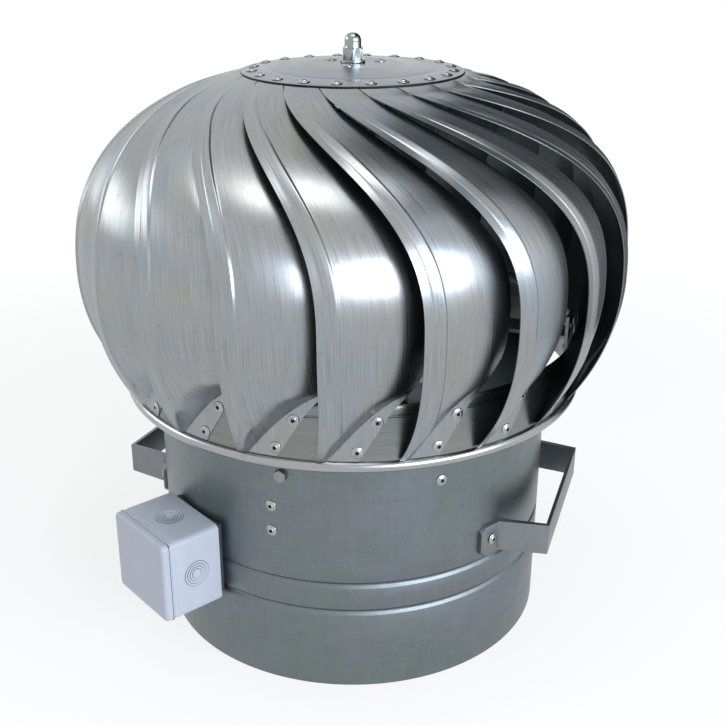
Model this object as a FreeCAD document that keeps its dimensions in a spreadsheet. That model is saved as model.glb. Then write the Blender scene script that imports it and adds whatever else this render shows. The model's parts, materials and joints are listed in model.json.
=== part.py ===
import FreeCAD, Part
import Sketcher
import math
import os

# Rotary turbine roof ventilator with a motor-assisted head.
# Origin: centre of the collar's bottom edge, on the turning axis, +Z up.
# Azimuth 0 points along -Y and grows towards +X.

SIZES = [
    # collar
    ("collar_radius", 177.5, "outside radius of the duct collar"),
    ("collar_wall", 1.0, "sheet of the collar"),
    ("collar_high", 232.0, "top edge of the collar"),
    ("groove_low_high", 74.8, "middle of the lower swaged groove"),
    ("groove_top_high", 101.3, "middle of the upper swaged groove"),
    ("groove_width", 6.0, "width of a swaged groove"),
    ("groove_deep", 1.8, "depth of a swaged groove"),
    # turning ring
    ("ring_radius", 201.5, "outside radius of the lower ring"),
    ("ring_wall", 1.0, "sheet of the lower ring"),
    ("ring_low", 221.0, "lower edge of the ring"),
    ("ring_top", 276.0, "upper edge of the ring"),
    ("bead_radius", 4.6, "rolled bead at the ring's lower edge"),
    # head
    ("head_radius", 240.0, "largest radius of the blades"),
    ("head_mid_high", 337.0, "height of the largest radius"),
    ("crown_high", 161.5, "rise of the upper curve above the middle"),
    ("crown_power", 2.4, "fullness of the upper curve"),
    ("belly_high", 204.0, "drop of the lower curve below the middle"),
    ("blade_count", 20.0, "number of blades"),
    ("blade_wall", 0.8, "sheet of a blade"),
    ("blade_turn", 12.0, "azimuth of the first blade's outer edge"),
    ("foot_gap", 0.3, "blade foot above the ring's bead"),
    ("foot_crease", 0.28, "share of the foot left of the flap that lies on the ring"),
    ("crease_rise", 60.0, "rise over which the flap tapers away"),
    ("ring_fold", 0.66, "place of the fold within the free sheet at the ring"),
    ("fold_share", 0.75, "the same from the middle upwards"),
    ("blade_tuck", 26.0, "how far the inner edge lies inside the outer one"),
    ("blade_bend", 13.0, "how far the fold lies inside the outer edge"),
    ("tuck_power", 1.15, "how the tuck shrinks towards the disc"),
    ("blade_angle", 21.0, "width of a blade at the middle, in degrees"),
    ("narrow_power", 4.0, "how late a blade narrows towards the disc"),
    ("blade_top_angle", 17.2, "width of a blade under the disc, in degrees"),
    ("blade_sweep", 46.0, "lead of the top end against the middle, in degrees"),
    ("sweep_power", 1.15, "how the sweep grows towards the disc"),
    ("tip_lag", 2.0, "lead of the lower tip, in degrees"),
    ("strip_width", 13.0, "strip between the outer edge and the crease"),
    ("rim_gap", 4.0, "start of the flat blade end outside the disc's rim"),
    ("tab_overlap", 20.0, "length of the flat blade end"),
    ("hem_high", 9.0, "folded hem at the ring's upper edge"),
    ("seat_gap", 0.05, "clearance between riveted sheets"),
    ("end_sag", 0.15, "room for a flat blade end under the conical disc"),
    # disc
    ("disc_radius", 93.8, "radius of the top disc"),
    ("disc_edge_high", 493.3, "upper side of the disc at its edge"),
    ("disc_rise", 6.0, "rise of the disc to its flat middle"),
    ("disc_flat_radius", 34.0, "radius of the flat middle"),
    ("disc_wall", 1.2, "sheet of the disc"),
    ("disc_rivet_radius", 84.6, "circle of the disc rivets"),
    ("disc_rivet_lead", -38.4, "disc rivet against its blade, in degrees"),
    ("hub_rivet_radius", 24.0, "circle of the hub rivets"),
    ("hub_rivet_count", 3.0, "number of hub rivets"),
    # rivets
    ("rivet_radius", 2.4, "shank of a blind rivet"),
    ("rivet_head", 4.75, "head of a blind rivet"),
    ("rivet_head_high", 1.6, "height of a blind rivet's head"),
    ("rivet_tail", 3.4, "closed end of a blind rivet"),
    ("rivet_tail_long", 3.0, "length of the closed end"),
    ("hole_gap", 0.05, "radial clearance round a shank"),
    ("row_low_high", 238.2, "height of the lower ring rivets"),
    ("row_low_lead", 6.9, "lower ring rivet against its blade, in degrees"),
    ("row_top_high", 263.0, "height of the upper ring rivets"),
    ("row_top_lead", 11.2, "upper ring rivet against its blade, in degrees"),
    # shaft and bearings
    ("shaft_radius", 10.0, "shaft of the head"),
    ("shaft_end_radius", 6.0, "lower journal of the shaft"),
    ("shaft_low", 161.5, "lower end of the shaft"),
    ("stud_radius", 5.0, "threaded top end of the shaft"),
    ("fit_gap", 0.03, "radial clearance of a seated piece"),
    ("upper_bearing_radius", 23.5, "outside radius of the upper bearing"),
    ("upper_bearing_high", 14.0, "width of the upper bearing"),
    ("lower_bearing_radius", 16.0, "outside radius of the lower bearing"),
    ("lower_bearing_high", 10.0, "width of the lower bearing"),
    ("race_wall", 3.6, "thickness of a bearing race"),
    # supports inside the collar
    ("traverse_width", 40.0, "width of a cross member"),
    ("traverse_wall", 4.0, "sheet of a cross member"),
    ("low_traverse_high", 156.0, "underside of the lower cross member"),
    ("low_traverse_turn", -22.1, "azimuth of the lower cross member"),
    ("low_rivet_high", 146.8, "lower rivet of the lower cross member"),
    ("low_rivet_high_b", 170.0, "upper rivet of the lower cross member"),
    ("top_traverse_high", 210.0, "underside of the upper cross member"),
    ("top_traverse_turn", 23.8, "azimuth of the upper cross member"),
    ("top_rivet_high", 192.5, "rivet of the upper cross member"),
    # motor
    ("motor_radius", 52.0, "outside radius of the motor can"),
    ("motor_high", 44.0, "height of the motor can"),
    ("motor_wall", 2.0, "wall of the motor can"),
    ("motor_gap", 0.6, "air gap between stator and rotor"),
    # handles
    ("handle_turn", 71.0, "azimuth of the right handle"),
    ("handle_turn_b", -114.0, "azimuth of the left handle"),
    ("handle_low", 107.0, "lower edge of the handle strap"),
    ("handle_width", 28.0, "width of the handle strap"),
    ("handle_wall", 3.0, "thickness of the handle strap"),
    ("handle_half", 75.0, "half of the grip bar"),
    ("handle_reach", 201.0, "grip bar from the turning axis"),
    ("handle_root", 26.0, "leg foot against the handle's middle, in degrees"),
    ("handle_foot", 34.0, "end of a foot against the middle, in degrees"),
    ("handle_rivet", 29.7, "foot rivet against the middle, in degrees"),
    # lock bolt
    ("bolt_turn", -18.9, "azimuth of the lock bolt"),
    ("bolt_high", 200.4, "height of the lock bolt"),
    ("bolt_radius", 3.0, "shank of the lock bolt"),
    ("bolt_head", 5.6, "corner radius of the bolt head"),
    # junction box
    ("box_turn", -49.7, "azimuth of the junction box"),
    ("box_width", 78.0, "width of the junction box"),
    ("box_high", 74.0, "height of the junction box"),
    ("box_deep", 48.0, "depth of the box body"),
    ("box_low", 66.5, "lower side of the box"),
    ("box_wall", 2.2, "wall of the box"),
    ("box_corner", 5.0, "corner radius of the box"),
    ("box_stand", 3.0, "foam pad between collar and box"),
    ("gasket_high", 0.8, "gasket between box and lid"),
    ("lid_deep", 7.0, "depth of the lid"),
    ("knockout_radius", 10.5, "radius of a knockout"),
    # rotor spider
    ("arm_count", 4.0, "number of rotor arms"),
    ("arm_turn", 68.2, "azimuth of the first rotor arm"),
    ("arm_width", 26.0, "width of a rotor arm"),
    ("arm_wall", 3.0, "thickness of a rotor arm"),
    ("arm_high", 284.0, "underside of the rotor arms"),
    ("plate_low", 258.0, "lower edge of an arm's end plate"),
    ("plate_top", 304.0, "upper edge of an arm's end plate"),
    ("plate_rivet_high", 271.5, "rivet of an arm's end plate"),
    # smaller pieces
    ("hub_rivet_turn", 20.0, "azimuth of the first hub rivet"),
    ("hub_radius", 18.0, "sleeve of the hubs"),
    ("hub_long", 26.0, "length of a hub"),
    ("hub_flange_high", 4.0, "thickness of a hub's flange"),
    ("spider_flange", 48.0, "radius of the lower hub's flange"),
    ("backing_inner", 78.0, "inner radius of the ring under the blades' ends"),
    ("backing_outer", 91.0, "outer radius of the ring under the blades' ends"),
    ("rotor_radius", 38.0, "radius of the motor's rotor"),
    ("screw_radius", 2.0, "motor fixing screws"),
    ("screw_head_high", 3.0, "height of a fixing's head"),
    ("screw_nut_high", 3.5, "height of a fixing's nut"),
    ("housing_radius", 46.0, "flange of the bearing housing"),
    ("housing_bolt_reach", 37.0, "bolts of the bearing housing from the axis"),
    ("house_floor", 4.0, "floor of the bearing housing"),
    ("rivet_tilt", 0.55, "stand-off of an upright rivet on the sloping rim"),
    ("foot_chamfer", 5.0, "cut corner of a handle's foot"),
    ("foot_lift", 0.5, "lift of a handle's flat foot over the round collar"),
    ("bolt_long", 14.0, "lock bolt inside the collar"),
    ("bolt_head_high", 4.0, "height of the lock bolt's head and nut"),
    ("sheet_sag", 0.1, "nut's stand-off from the round sheet"),
    ("grommet_neck", 8.0, "hole of the cable grommet"),
    ("grommet_bore", 5.0, "bore of the cable grommet"),
    ("terminal_width", 44.0, "width of the terminal block"),
    ("terminal_deep", 14.0, "depth of the terminal block"),
    ("washer_radius", 10.5, "radius of the cap washer"),
    ("washer_high", 2.2, "height of the cap washer"),
    ("nut_radius", 9.6, "corner radius of the cap nut"),
    ("nut_high", 9.8, "height of the nut's hexagon"),
    ("dome_radius", 7.0, "radius of the cap's dome"),
    ("dome_high", 12.0, "height of the cap's dome"),
]

NODES = []


def main():
    doc = FreeCAD.newDocument("turbine_ventilator")
    write_sizes(doc)
    collar(doc)
    cross_members(doc)
    motor_and_bearings(doc)
    handles(doc)
    collar_fasteners(doc)
    junction_box(doc)
    shaft_and_hubs(doc)
    head_sheets(doc)
    blades(doc)
    head_rivets(doc)
    cap(doc)
    finish(doc)


# Sizes sheet

def write_sizes(doc):
    sheet = doc.addObject("Spreadsheet::Sheet", "Sizes")
    for row, (alias, value, note) in enumerate(SIZES, start=1):
        sheet.set("A%d" % row, alias)
        sheet.set("B%d" % row, str(value))
        sheet.set("C%d" % row, note)
        sheet.setAlias("B%d" % row, alias)
    doc.recompute()


def size(doc, alias):
    return float(doc.Sizes.get(alias))


def s(text):
    # "ring_radius - ring_wall" becomes an expression that reads the sheet
    words = []
    for word in text.split(" "):
        named = word[:1].isalpha() and not word.endswith("(")
        words.append("Sizes." + word if named else word)
    return " ".join(words)


# Drawing helpers

def new_body(doc, label):
    body = doc.addObject("PartDesign::Body", label)
    body.Label = label
    body.AllowCompound = True
    return body


def origin_feature(body, role):
    for feature in body.Origin.OriginFeatures:
        if feature.Role == role:
            return feature


def sketch(body, plane, lift=None, swing=None):
    # lift moves the plane along its normal, swing turns it about the axis
    drawing = body.newObject("Sketcher::SketchObject", body.Label + "_sketch")
    drawing.AttachmentSupport = [(origin_feature(body, plane), "")]
    drawing.MapMode = "FlatFace"
    if swing:
        spin = FreeCAD.Vector(0, 0, 1) if plane == "XY_Plane" else FreeCAD.Vector(0, 1, 0)
        drawing.AttachmentOffset = FreeCAD.Placement(FreeCAD.Vector(), FreeCAD.Rotation(spin, 1))
        drawing.setExpression("AttachmentOffset.Rotation.Angle", s(swing))
    if lift:
        drawing.setExpression("AttachmentOffset.Base.z", s(lift))
    return drawing


def pin_point(drawing, shape, point, across, along):
    for kind, text in (("DistanceX", across), ("DistanceY", along)):
        number = drawing.addConstraint(Sketcher.Constraint(kind, -1, 1, shape, point, 10.0))
        drawing.setExpression("Constraints[%d]" % number, s(text))


def outline(body, plane, points, lift=None, swing=None):
    # closed outline whose corners sit at the given expressions
    drawing = sketch(body, plane, lift, swing)
    count = len(points)
    start = [FreeCAD.Vector(60 + 20 * math.cos(2 * math.pi * k / count),
                            60 + 20 * math.sin(2 * math.pi * k / count), 0)
             for k in range(count)]
    for k in range(count):
        drawing.addGeometry(Part.LineSegment(start[k], start[(k + 1) % count]))
    for k in range(count):
        drawing.addConstraint(Sketcher.Constraint("Coincident", k, 2, (k + 1) % count, 1))
    for k, (across, along) in enumerate(points):
        pin_point(drawing, k, 1, across, along)
    return drawing


def circles(body, plane, spots, lift=None, swing=None):
    # spots holds centre x, centre y and radius as expressions
    drawing = sketch(body, plane, lift, swing)
    for k, (across, along, radius) in enumerate(spots):
        drawing.addGeometry(Part.Circle(FreeCAD.Vector(20 * k, 5, 0), FreeCAD.Vector(0, 0, 1), 3))
        pin_point(drawing, k, 3, across, along)
        number = drawing.addConstraint(Sketcher.Constraint("Radius", k, 3.0))
        drawing.setExpression("Constraints[%d]" % number, s(radius))
    return drawing


def rectangle(left, right, low, top):
    return [(left, low), (right, low), (right, top), (left, top)]


def revolve(body, drawing, axis="V_Axis"):
    feature = body.newObject("PartDesign::Revolution", body.Label + "_turned")
    feature.Profile = drawing
    feature.ReferenceAxis = (drawing, [axis])
    feature.Angle = 360
    return feature


def pad(body, drawing, length, both_sides=False, reverse=False):
    feature = body.newObject("PartDesign::Pad", body.Label + "_pad")
    feature.Profile = drawing
    feature.setExpression("Length", s(length))
    if both_sides:
        feature.SideType = "Symmetric"
    feature.Reversed = reverse
    return feature


def pocket(body, drawing, length=None, both_sides=False, reverse=False):
    # without a length the cut goes through everything on its side
    feature = body.newObject("PartDesign::Pocket", body.Label + "_cut")
    feature.Profile = drawing
    if length:
        feature.setExpression("Length", s(length))
    else:
        feature.Type = "ThroughAll"
    if both_sides:
        feature.SideType = "Symmetric"
    feature.Reversed = reverse
    return feature


def polar(body, originals, count):
    pattern = body.newObject("PartDesign::PolarPattern", body.Label + "_pattern")
    pattern.Originals = originals
    pattern.Axis = (origin_feature(body, "Z_Axis"), [""])
    pattern.Angle = 360
    pattern.setExpression("Occurrences", s(count))
    body.Tip = pattern
    return pattern


def fillet(body, feature, radius, picks):
    # picks tells from an edge whether it is rounded
    body.Document.recompute()
    names = ["Edge%d" % (k + 1) for k, edge in enumerate(feature.Shape.Edges) if picks(edge)]
    rounding = body.newObject("PartDesign::Fillet", body.Label + "_round")
    rounding.Base = (feature, names)
    rounding.setExpression("Radius", s(radius))
    return rounding


def turn_to(thing, angle):
    thing.setExpression("Placement", "placement(vector(0; 0; 0); rotationz(%s))" % s(angle))


def keep(thing, label):
    thing.Label = label
    NODES.append(thing)
    return thing


def trimmed(doc, body, radius, label):
    # the body's outer faces follow the sheet that they lie against
    barrel = doc.addObject("Part::Cylinder", label + "_barrel")
    barrel.setExpression("Radius", s(radius))
    barrel.Height = 600
    common = doc.addObject("Part::Common", label + "_node")
    common.Base = body
    common.Tool = barrel
    return keep(common, label)


def rivet_outline(body, seat, grip, lift, swing):
    # head outside, shank through the sheets, closed end inside; seat is the sheet's outside
    # and grip the thickness of the stack
    return outline(body, "XY_Plane", [
        ("0", "0 - " + seat + " - rivet_head_high / 2"),
        ("rivet_radius / 2", "0 - " + seat + " - rivet_head_high / 2"),
        ("rivet_radius / 2", "0 - " + seat + " - rivet_head_high"),
        ("rivet_head / 2", "0 - " + seat + " - rivet_head_high"),
        ("rivet_head", "0 - " + seat + " - rivet_head_high / 3"),
        ("rivet_head", "0 - " + seat),
        ("rivet_radius", "0 - " + seat),
        ("rivet_radius", "0 - " + seat + " + " + grip),
        ("rivet_tail", "0 - " + seat + " + " + grip),
        ("rivet_tail", "0 - " + seat + " + " + grip + " + rivet_tail_long"),
        ("0", "0 - " + seat + " + " + grip + " + rivet_tail_long"),
    ], lift, swing)


def radial_rivet(body, seat, grip, high, turn):
    return revolve(body, rivet_outline(body, seat, grip, high, turn))


def radial_hole(body, high, turn, radius="rivet_radius + hole_gap"):
    drawing = circles(body, "XZ_Plane", [("0", high, radius)], None, turn)
    return pocket(body, drawing, None, False, True)


# Collar

def collar(doc):
    body = new_body(doc, "base_collar_body")
    outside = []
    inside = []
    for middle in ("groove_low_high", "groove_top_high"):
        for step, depth in ((" - groove_width / 2", ""),
                            (" - groove_width / 5", " - groove_deep"),
                            (" + groove_width / 5", " - groove_deep"),
                            (" + groove_width / 2", "")):
            outside.append(("collar_radius" + depth, middle + step))
            inside.append(("collar_radius - collar_wall" + depth, middle + step))
    wall = [("collar_radius", "0")] + outside + [("collar_radius", "collar_high")]
    wall += [("collar_radius - collar_wall", "collar_high")] + inside[::-1]
    wall += [("collar_radius - collar_wall", "0")]
    revolve(body, outline(body, "XZ_Plane", wall))
    for high, turn in (("low_rivet_high", "low_traverse_turn"),
                       ("low_rivet_high_b", "low_traverse_turn"),
                       ("low_rivet_high", "low_traverse_turn + 180"),
                       ("low_rivet_high_b", "low_traverse_turn + 180"),
                       ("top_rivet_high", "top_traverse_turn"),
                       ("top_rivet_high", "top_traverse_turn + 180")):
        radial_hole(body, high, turn)
    for turn in handle_rivet_turns():
        radial_hole(body, "handle_low + handle_width / 2", turn)
    radial_hole(body, "bolt_high", "bolt_turn", "bolt_radius + hole_gap")
    radial_hole(body, "box_low + box_high / 2", "box_turn", "grommet_neck")
    keep(body, "base_collar")


def handle_rivet_turns():
    return ["handle_turn - handle_rivet", "handle_turn + handle_rivet",
            "handle_turn_b - handle_rivet", "handle_turn_b + handle_rivet"]


# Cross members

def cross_members(doc):
    low = new_body(doc, "traverse_lower_body")
    pad(low, outline(low, "YZ_Plane", traverse_outline(
        "low_traverse_high", "low_rivet_high - 9", "low_rivet_high_b + 9")), "traverse_width", True)
    pocket(low, circles(low, "XY_Plane", [("0", "0", "shaft_end_radius + 1")]), None, True)
    turn_holes(low, [("low_rivet_high", "0"), ("low_rivet_high_b", "0"),
                     ("low_rivet_high", "180"), ("low_rivet_high_b", "180")])
    motor_screw_holes(low)
    turn_to(low, "low_traverse_turn")
    trimmed(doc, low, "collar_radius - collar_wall - seat_gap", "traverse_lower")
    top = new_body(doc, "traverse_upper_body")
    pad(top, outline(top, "YZ_Plane", traverse_outline(
        "top_traverse_high", "top_rivet_high - 10", "top_traverse_high + traverse_wall + 2")),
        "traverse_width", True)
    pocket(top, circles(top, "XY_Plane", [("0", "0", "shaft_radius + 2")]), None, True)
    turn_holes(top, [("top_rivet_high", "0"), ("top_rivet_high", "180")])
    housing_bolt_holes(top)
    turn_to(top, "top_traverse_turn")
    trimmed(doc, top, "collar_radius - collar_wall - seat_gap", "traverse_upper")


def traverse_outline(bar, low, top):
    # a flat bar with an upright end plate against the collar at each end
    out, bend = "collar_radius", "( collar_radius - collar_wall - traverse_wall )"
    return [("0 - " + out, low), ("0 - " + bend, low), ("0 - " + bend, bar), (bend, bar),
            (bend, low), (out, low), (out, top), (bend, top),
            (bend, bar + " + traverse_wall"), ("0 - " + bend, bar + " + traverse_wall"),
            ("0 - " + bend, top), ("0 - " + out, top)]


def turn_holes(body, places):
    for high, turn in places:
        radial_hole(body, high, turn)


def each_side(reach):
    return (reach, "0 - ( " + reach + " )")


def screw_spots(reach, radius):
    return [("0", at, radius) for at in each_side(reach)]


def motor_screw_holes(body):
    pocket(body, circles(body, "XY_Plane", screw_spots("motor_radius - 10", "screw_radius + hole_gap")),
           None, True)


def housing_bolt_holes(body):
    pocket(body, circles(body, "XY_Plane", screw_spots("housing_bolt_reach", "bolt_radius + hole_gap")),
           None, True)


# Motor and bearings

def motor_and_bearings(doc):
    base = "low_traverse_high + traverse_wall"
    can = new_body(doc, "motor_housing")
    floor = base + " + motor_wall"
    roof = base + " + motor_high - motor_wall"
    revolve(can, outline(can, "XZ_Plane", [
        ("shaft_end_radius + 1", base), ("motor_radius", base),
        ("motor_radius", base + " + motor_high"), ("shaft_radius + 2", base + " + motor_high"),
        ("shaft_radius + 2", roof), ("motor_radius - motor_wall", roof),
        ("motor_radius - motor_wall", floor),
        ("lower_bearing_radius + fit_gap + motor_wall", floor),
        ("lower_bearing_radius + fit_gap + motor_wall", floor + " + lower_bearing_high"),
        ("lower_bearing_radius + fit_gap", floor + " + lower_bearing_high"),
        ("lower_bearing_radius + fit_gap", floor), ("shaft_end_radius + 1", floor)]))
    pocket(can, circles(can, "XY_Plane", screw_spots("motor_radius - 10", "screw_radius + hole_gap"),
                        base), "motor_wall", False, True)
    turn_to(can, "low_traverse_turn")
    keep(can, "motor_housing")
    stator = new_body(doc, "motor_stator")
    revolve(stator, outline(stator, "XZ_Plane", rectangle(
        "rotor_radius + motor_gap", "motor_radius - motor_wall - fit_gap",
        floor + " + 12", roof + " - 4")))
    keep(stator, "motor_stator")
    screws = new_body(doc, "motor_screws")
    screw_body(screws, "motor_radius - 10", "low_traverse_high", base + " + motor_wall",
               "screw_radius", "low_traverse_turn")
    bearing(doc, "lower_bearing", floor, "lower_bearing_high", "shaft_end_radius", "lower_bearing_radius")
    house(doc)
    bearing(doc, "upper_bearing", "top_traverse_high + traverse_wall + house_floor",
            "upper_bearing_high", "shaft_radius", "upper_bearing_radius")


def screw_body(body, reach, low, top, radius, turn):
    # one screw each side: head below, shank, and a nut on top
    for at in each_side(reach):
        pad(body, circles(body, "XY_Plane", [("0", at, radius)], low + " - screw_head_high"),
            "%s - ( %s ) + screw_head_high + screw_nut_high" % (top, low))
        pad(body, circles(body, "XY_Plane", [("0", at, radius + " * 1.8")],
                          low + " - screw_head_high"), "screw_head_high")
        pad(body, circles(body, "XY_Plane", [("0", at, radius + " * 1.8")], top), "screw_nut_high")
    turn_to(body, turn)
    keep(body, body.Label)


def bearing(doc, label, low, width, inner, outer):
    ring = new_body(doc, label + "_outer")
    revolve(ring, outline(ring, "XZ_Plane", rectangle(
        outer + " - race_wall", outer, low, low + " + " + width)))
    keep(ring, label + "_outer")
    race = new_body(doc, label + "_inner")
    revolve(race, outline(race, "XZ_Plane", rectangle(
        inner + " + fit_gap", outer + " - race_wall - fit_gap", low, low + " + " + width)))
    keep(race, label + "_inner")


def house(doc):
    seat = "top_traverse_high + traverse_wall"
    body = new_body(doc, "bearing_housing")
    revolve(body, outline(body, "XZ_Plane", [
        ("shaft_radius + 2", seat), ("housing_radius", seat),
        ("housing_radius", seat + " + house_floor"),
        ("upper_bearing_radius + 5", seat + " + house_floor"),
        ("upper_bearing_radius + 5", seat + " + house_floor + upper_bearing_high"),
        ("upper_bearing_radius + fit_gap", seat + " + house_floor + upper_bearing_high"),
        ("upper_bearing_radius + fit_gap", seat + " + house_floor"),
        ("shaft_radius + 2", seat + " + house_floor")]))
    housing_bolt_holes(body)
    turn_to(body, "top_traverse_turn")
    keep(body, "bearing_housing")
    bolts = new_body(doc, "bearing_housing_bolts")
    screw_body(bolts, "housing_bolt_reach", "top_traverse_high", seat + " + house_floor",
               "bolt_radius", "top_traverse_turn")


# Handles

def handles(doc):
    for label, turn in (("handle_right", "handle_turn"), ("handle_left", "handle_turn_b")):
        body = new_body(doc, label + "_body")
        strap = pad(body, outline(body, "XY_Plane", handle_outline(), "handle_low"), "handle_width")
        for side in ("0 - handle_rivet", "handle_rivet"):
            radial_hole(body, "handle_low + handle_width / 2", side)
        cut_corners(body)
        turn_to(body, turn)
        bore = doc.addObject("Part::Cylinder", label + "_bore")
        bore.setExpression("Radius", s("collar_radius + seat_gap"))
        bore.Height = 600
        cut = doc.addObject("Part::Cut", label + "_node")
        cut.Base = body
        cut.Tool = bore
        keep(cut, label)
    rivets = new_body(doc, "handle_rivets")
    for turn in handle_rivet_turns():
        radial_rivet(rivets, "( collar_radius + handle_wall + foot_lift )",
                     "( handle_wall + foot_lift + collar_wall + hole_gap * 2 )",
                     "handle_low + handle_width / 2", turn)
    keep(rivets, "handle_rivets")


def cut_corners(body):
    # the four corners of the two feet, cut straight off
    reach = "( collar_radius + handle_wall + foot_lift ) * sin( handle_foot )"
    for side in ("", "0 - "):
        for edge, away in (("handle_low", " - "), ("handle_low + handle_width", " + ")):
            near = side + "( " + reach + " + foot_chamfer )"
            far = side + "( " + reach + " - foot_chamfer * 2 )"
            back = " + " if away == " - " else " - "
            pocket(body, outline(body, "XZ_Plane", [
                (near, edge + back + "foot_chamfer * 2"), (near, edge + away + "foot_chamfer"),
                (far, edge + away + "foot_chamfer")]), None, True)


def handle_outline():
    # strap in plan: foot, leg, grip bar, leg, foot; outside first, then the inside
    def on_circle(extra, angle):
        radius = "( collar_radius + %s )" % extra
        return ("%s * sin( %s )" % (radius, angle), "%s * cos( %s )" % (radius, angle))
    foot_out = on_circle("handle_wall + foot_lift", "handle_foot")
    root_out = on_circle("handle_wall + foot_lift", "( handle_root + 1.2 )")
    foot_in = on_circle("foot_lift - 1.5", "handle_foot")
    root_in = on_circle("foot_lift - 1.5", "handle_root")
    outer = [foot_out, root_out, ("handle_half + handle_wall / 2", "handle_reach + handle_wall / 2")]
    inner = [foot_in, root_in, ("handle_half - handle_wall / 2", "handle_reach - handle_wall / 2")]
    right = [(x, "0 - ( " + y + " )") for x, y in outer]
    left = [("0 - ( " + x + " )", "0 - ( " + y + " )") for x, y in outer[::-1]]
    left_in = [("0 - ( " + x + " )", "0 - ( " + y + " )") for x, y in inner]
    right_in = [(x, "0 - ( " + y + " )") for x, y in inner[::-1]]
    return right + left + left_in + right_in


# Fasteners in the collar's wall

def collar_fasteners(doc):
    rivets = new_body(doc, "traverse_rivets")
    grip = "( collar_wall + traverse_wall + 0.4 )"
    for high, turn in (("low_rivet_high", "low_traverse_turn"),
                       ("low_rivet_high_b", "low_traverse_turn"),
                       ("low_rivet_high", "low_traverse_turn + 180"),
                       ("low_rivet_high_b", "low_traverse_turn + 180"),
                       ("top_rivet_high", "top_traverse_turn"),
                       ("top_rivet_high", "top_traverse_turn + 180")):
        radial_rivet(rivets, "( collar_radius + seat_gap )", grip, high, turn)
    keep(rivets, "traverse_rivets")
    bolt = new_body(doc, "lock_bolt")
    shank = circles(bolt, "XZ_Plane", [("0", "bolt_high", "bolt_radius")],
                    None, "bolt_turn")
    plane_out(shank, "collar_radius - bolt_long", "bolt_turn")
    pad(bolt, shank, "bolt_long + 1")
    head = hexagon(bolt, "bolt_high", "bolt_head", "collar_radius + seat_gap", "bolt_turn")
    pad(bolt, head, "bolt_head_high")
    keep(bolt, "lock_bolt")
    nut = new_body(doc, "lock_nut")
    pad(nut, hexagon(nut, "bolt_high", "bolt_head",
                     "collar_radius - collar_wall - seat_gap - bolt_head_high - sheet_sag", "bolt_turn"),
        "bolt_head_high")
    bore = circles(nut, "XZ_Plane", [("0", "bolt_high", "bolt_radius + fit_gap")], None, "bolt_turn")
    pocket(nut, bore, None, False, True)
    keep(nut, "lock_nut")


def plane_out(drawing, distance, turn):
    # puts a swung upright plane at a distance from the axis
    drawing.setExpression("AttachmentOffset.Base.x", "( %s ) * sin( %s )" % (s(distance), s(turn)))
    drawing.setExpression("AttachmentOffset.Base.z", "( %s ) * cos( %s )" % (s(distance), s(turn)))


def hexagon(body, high, radius, distance, turn):
    corners = [("%s * sin( %d )" % (radius, 60 * k), "%s + %s * cos( %d )" % (high, radius, 60 * k))
               for k in range(6)]
    drawing = outline(body, "XZ_Plane", corners, None, turn)
    plane_out(drawing, distance, turn)
    return drawing


# Junction box

def junction_box(doc):
    back = "collar_radius + box_stand"
    front = back + " + box_deep"
    frame = rectangle("0 - box_width / 2", "box_width / 2", "box_low", "box_low + box_high")
    hollow = rectangle("0 - box_width / 2 + box_wall", "box_width / 2 - box_wall",
                       "box_low + box_wall", "box_low + box_high - box_wall")
    shell = new_body(doc, "box_body")
    block = pad(shell, outline(shell, "XZ_Plane", frame, back), "box_deep")
    fillet(shell, block, "box_corner", along_depth)
    pocket(shell, outline(shell, "XZ_Plane", hollow, front), "box_deep - box_wall")
    middle = "0 - ( collar_radius + box_stand + box_deep / 2 )"
    pocket(shell, circles(shell, "XY_Plane", [("0", middle, "knockout_radius + fit_gap")]), None, True)
    pocket(shell, circles(shell, "YZ_Plane", [
        (middle, "box_low + box_high / 2", "knockout_radius + fit_gap")]), None, True)
    pocket(shell, circles(shell, "XZ_Plane", [("0", "box_low + box_high / 2", "grommet_neck")]),
           None, False, True)
    turn_to(shell, "box_turn")
    keep(shell, "box_body")
    seal = new_body(doc, "box_gasket")
    pad(seal, outline(seal, "XZ_Plane", rectangle(
        "0 - box_width / 2 + 1", "box_width / 2 - 1", "box_low + 1", "box_low + box_high - 1"), front),
        "gasket_high")
    pocket(seal, outline(seal, "XZ_Plane", hollow, front + " + gasket_high"), "gasket_high")
    turn_to(seal, "box_turn")
    keep(seal, "box_gasket")
    lid = new_body(doc, "box_lid")
    slab = pad(lid, outline(lid, "XZ_Plane", frame, front + " + gasket_high"), "lid_deep")
    edges = fillet(lid, slab, "box_corner", along_depth)
    pocket(lid, outline(lid, "XZ_Plane", hollow, front + " + gasket_high + lid_deep - box_wall"),
           "lid_deep - box_wall")
    turn_to(lid, "box_turn")
    keep(lid, "box_lid")
    box_inside(doc, back, front, middle)


def along_depth(edge):
    ends = [vertex.Point for vertex in edge.Vertexes]
    return len(ends) == 2 and abs(abs(ends[0].y - ends[1].y) - edge.Length) < 1e-6


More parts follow.
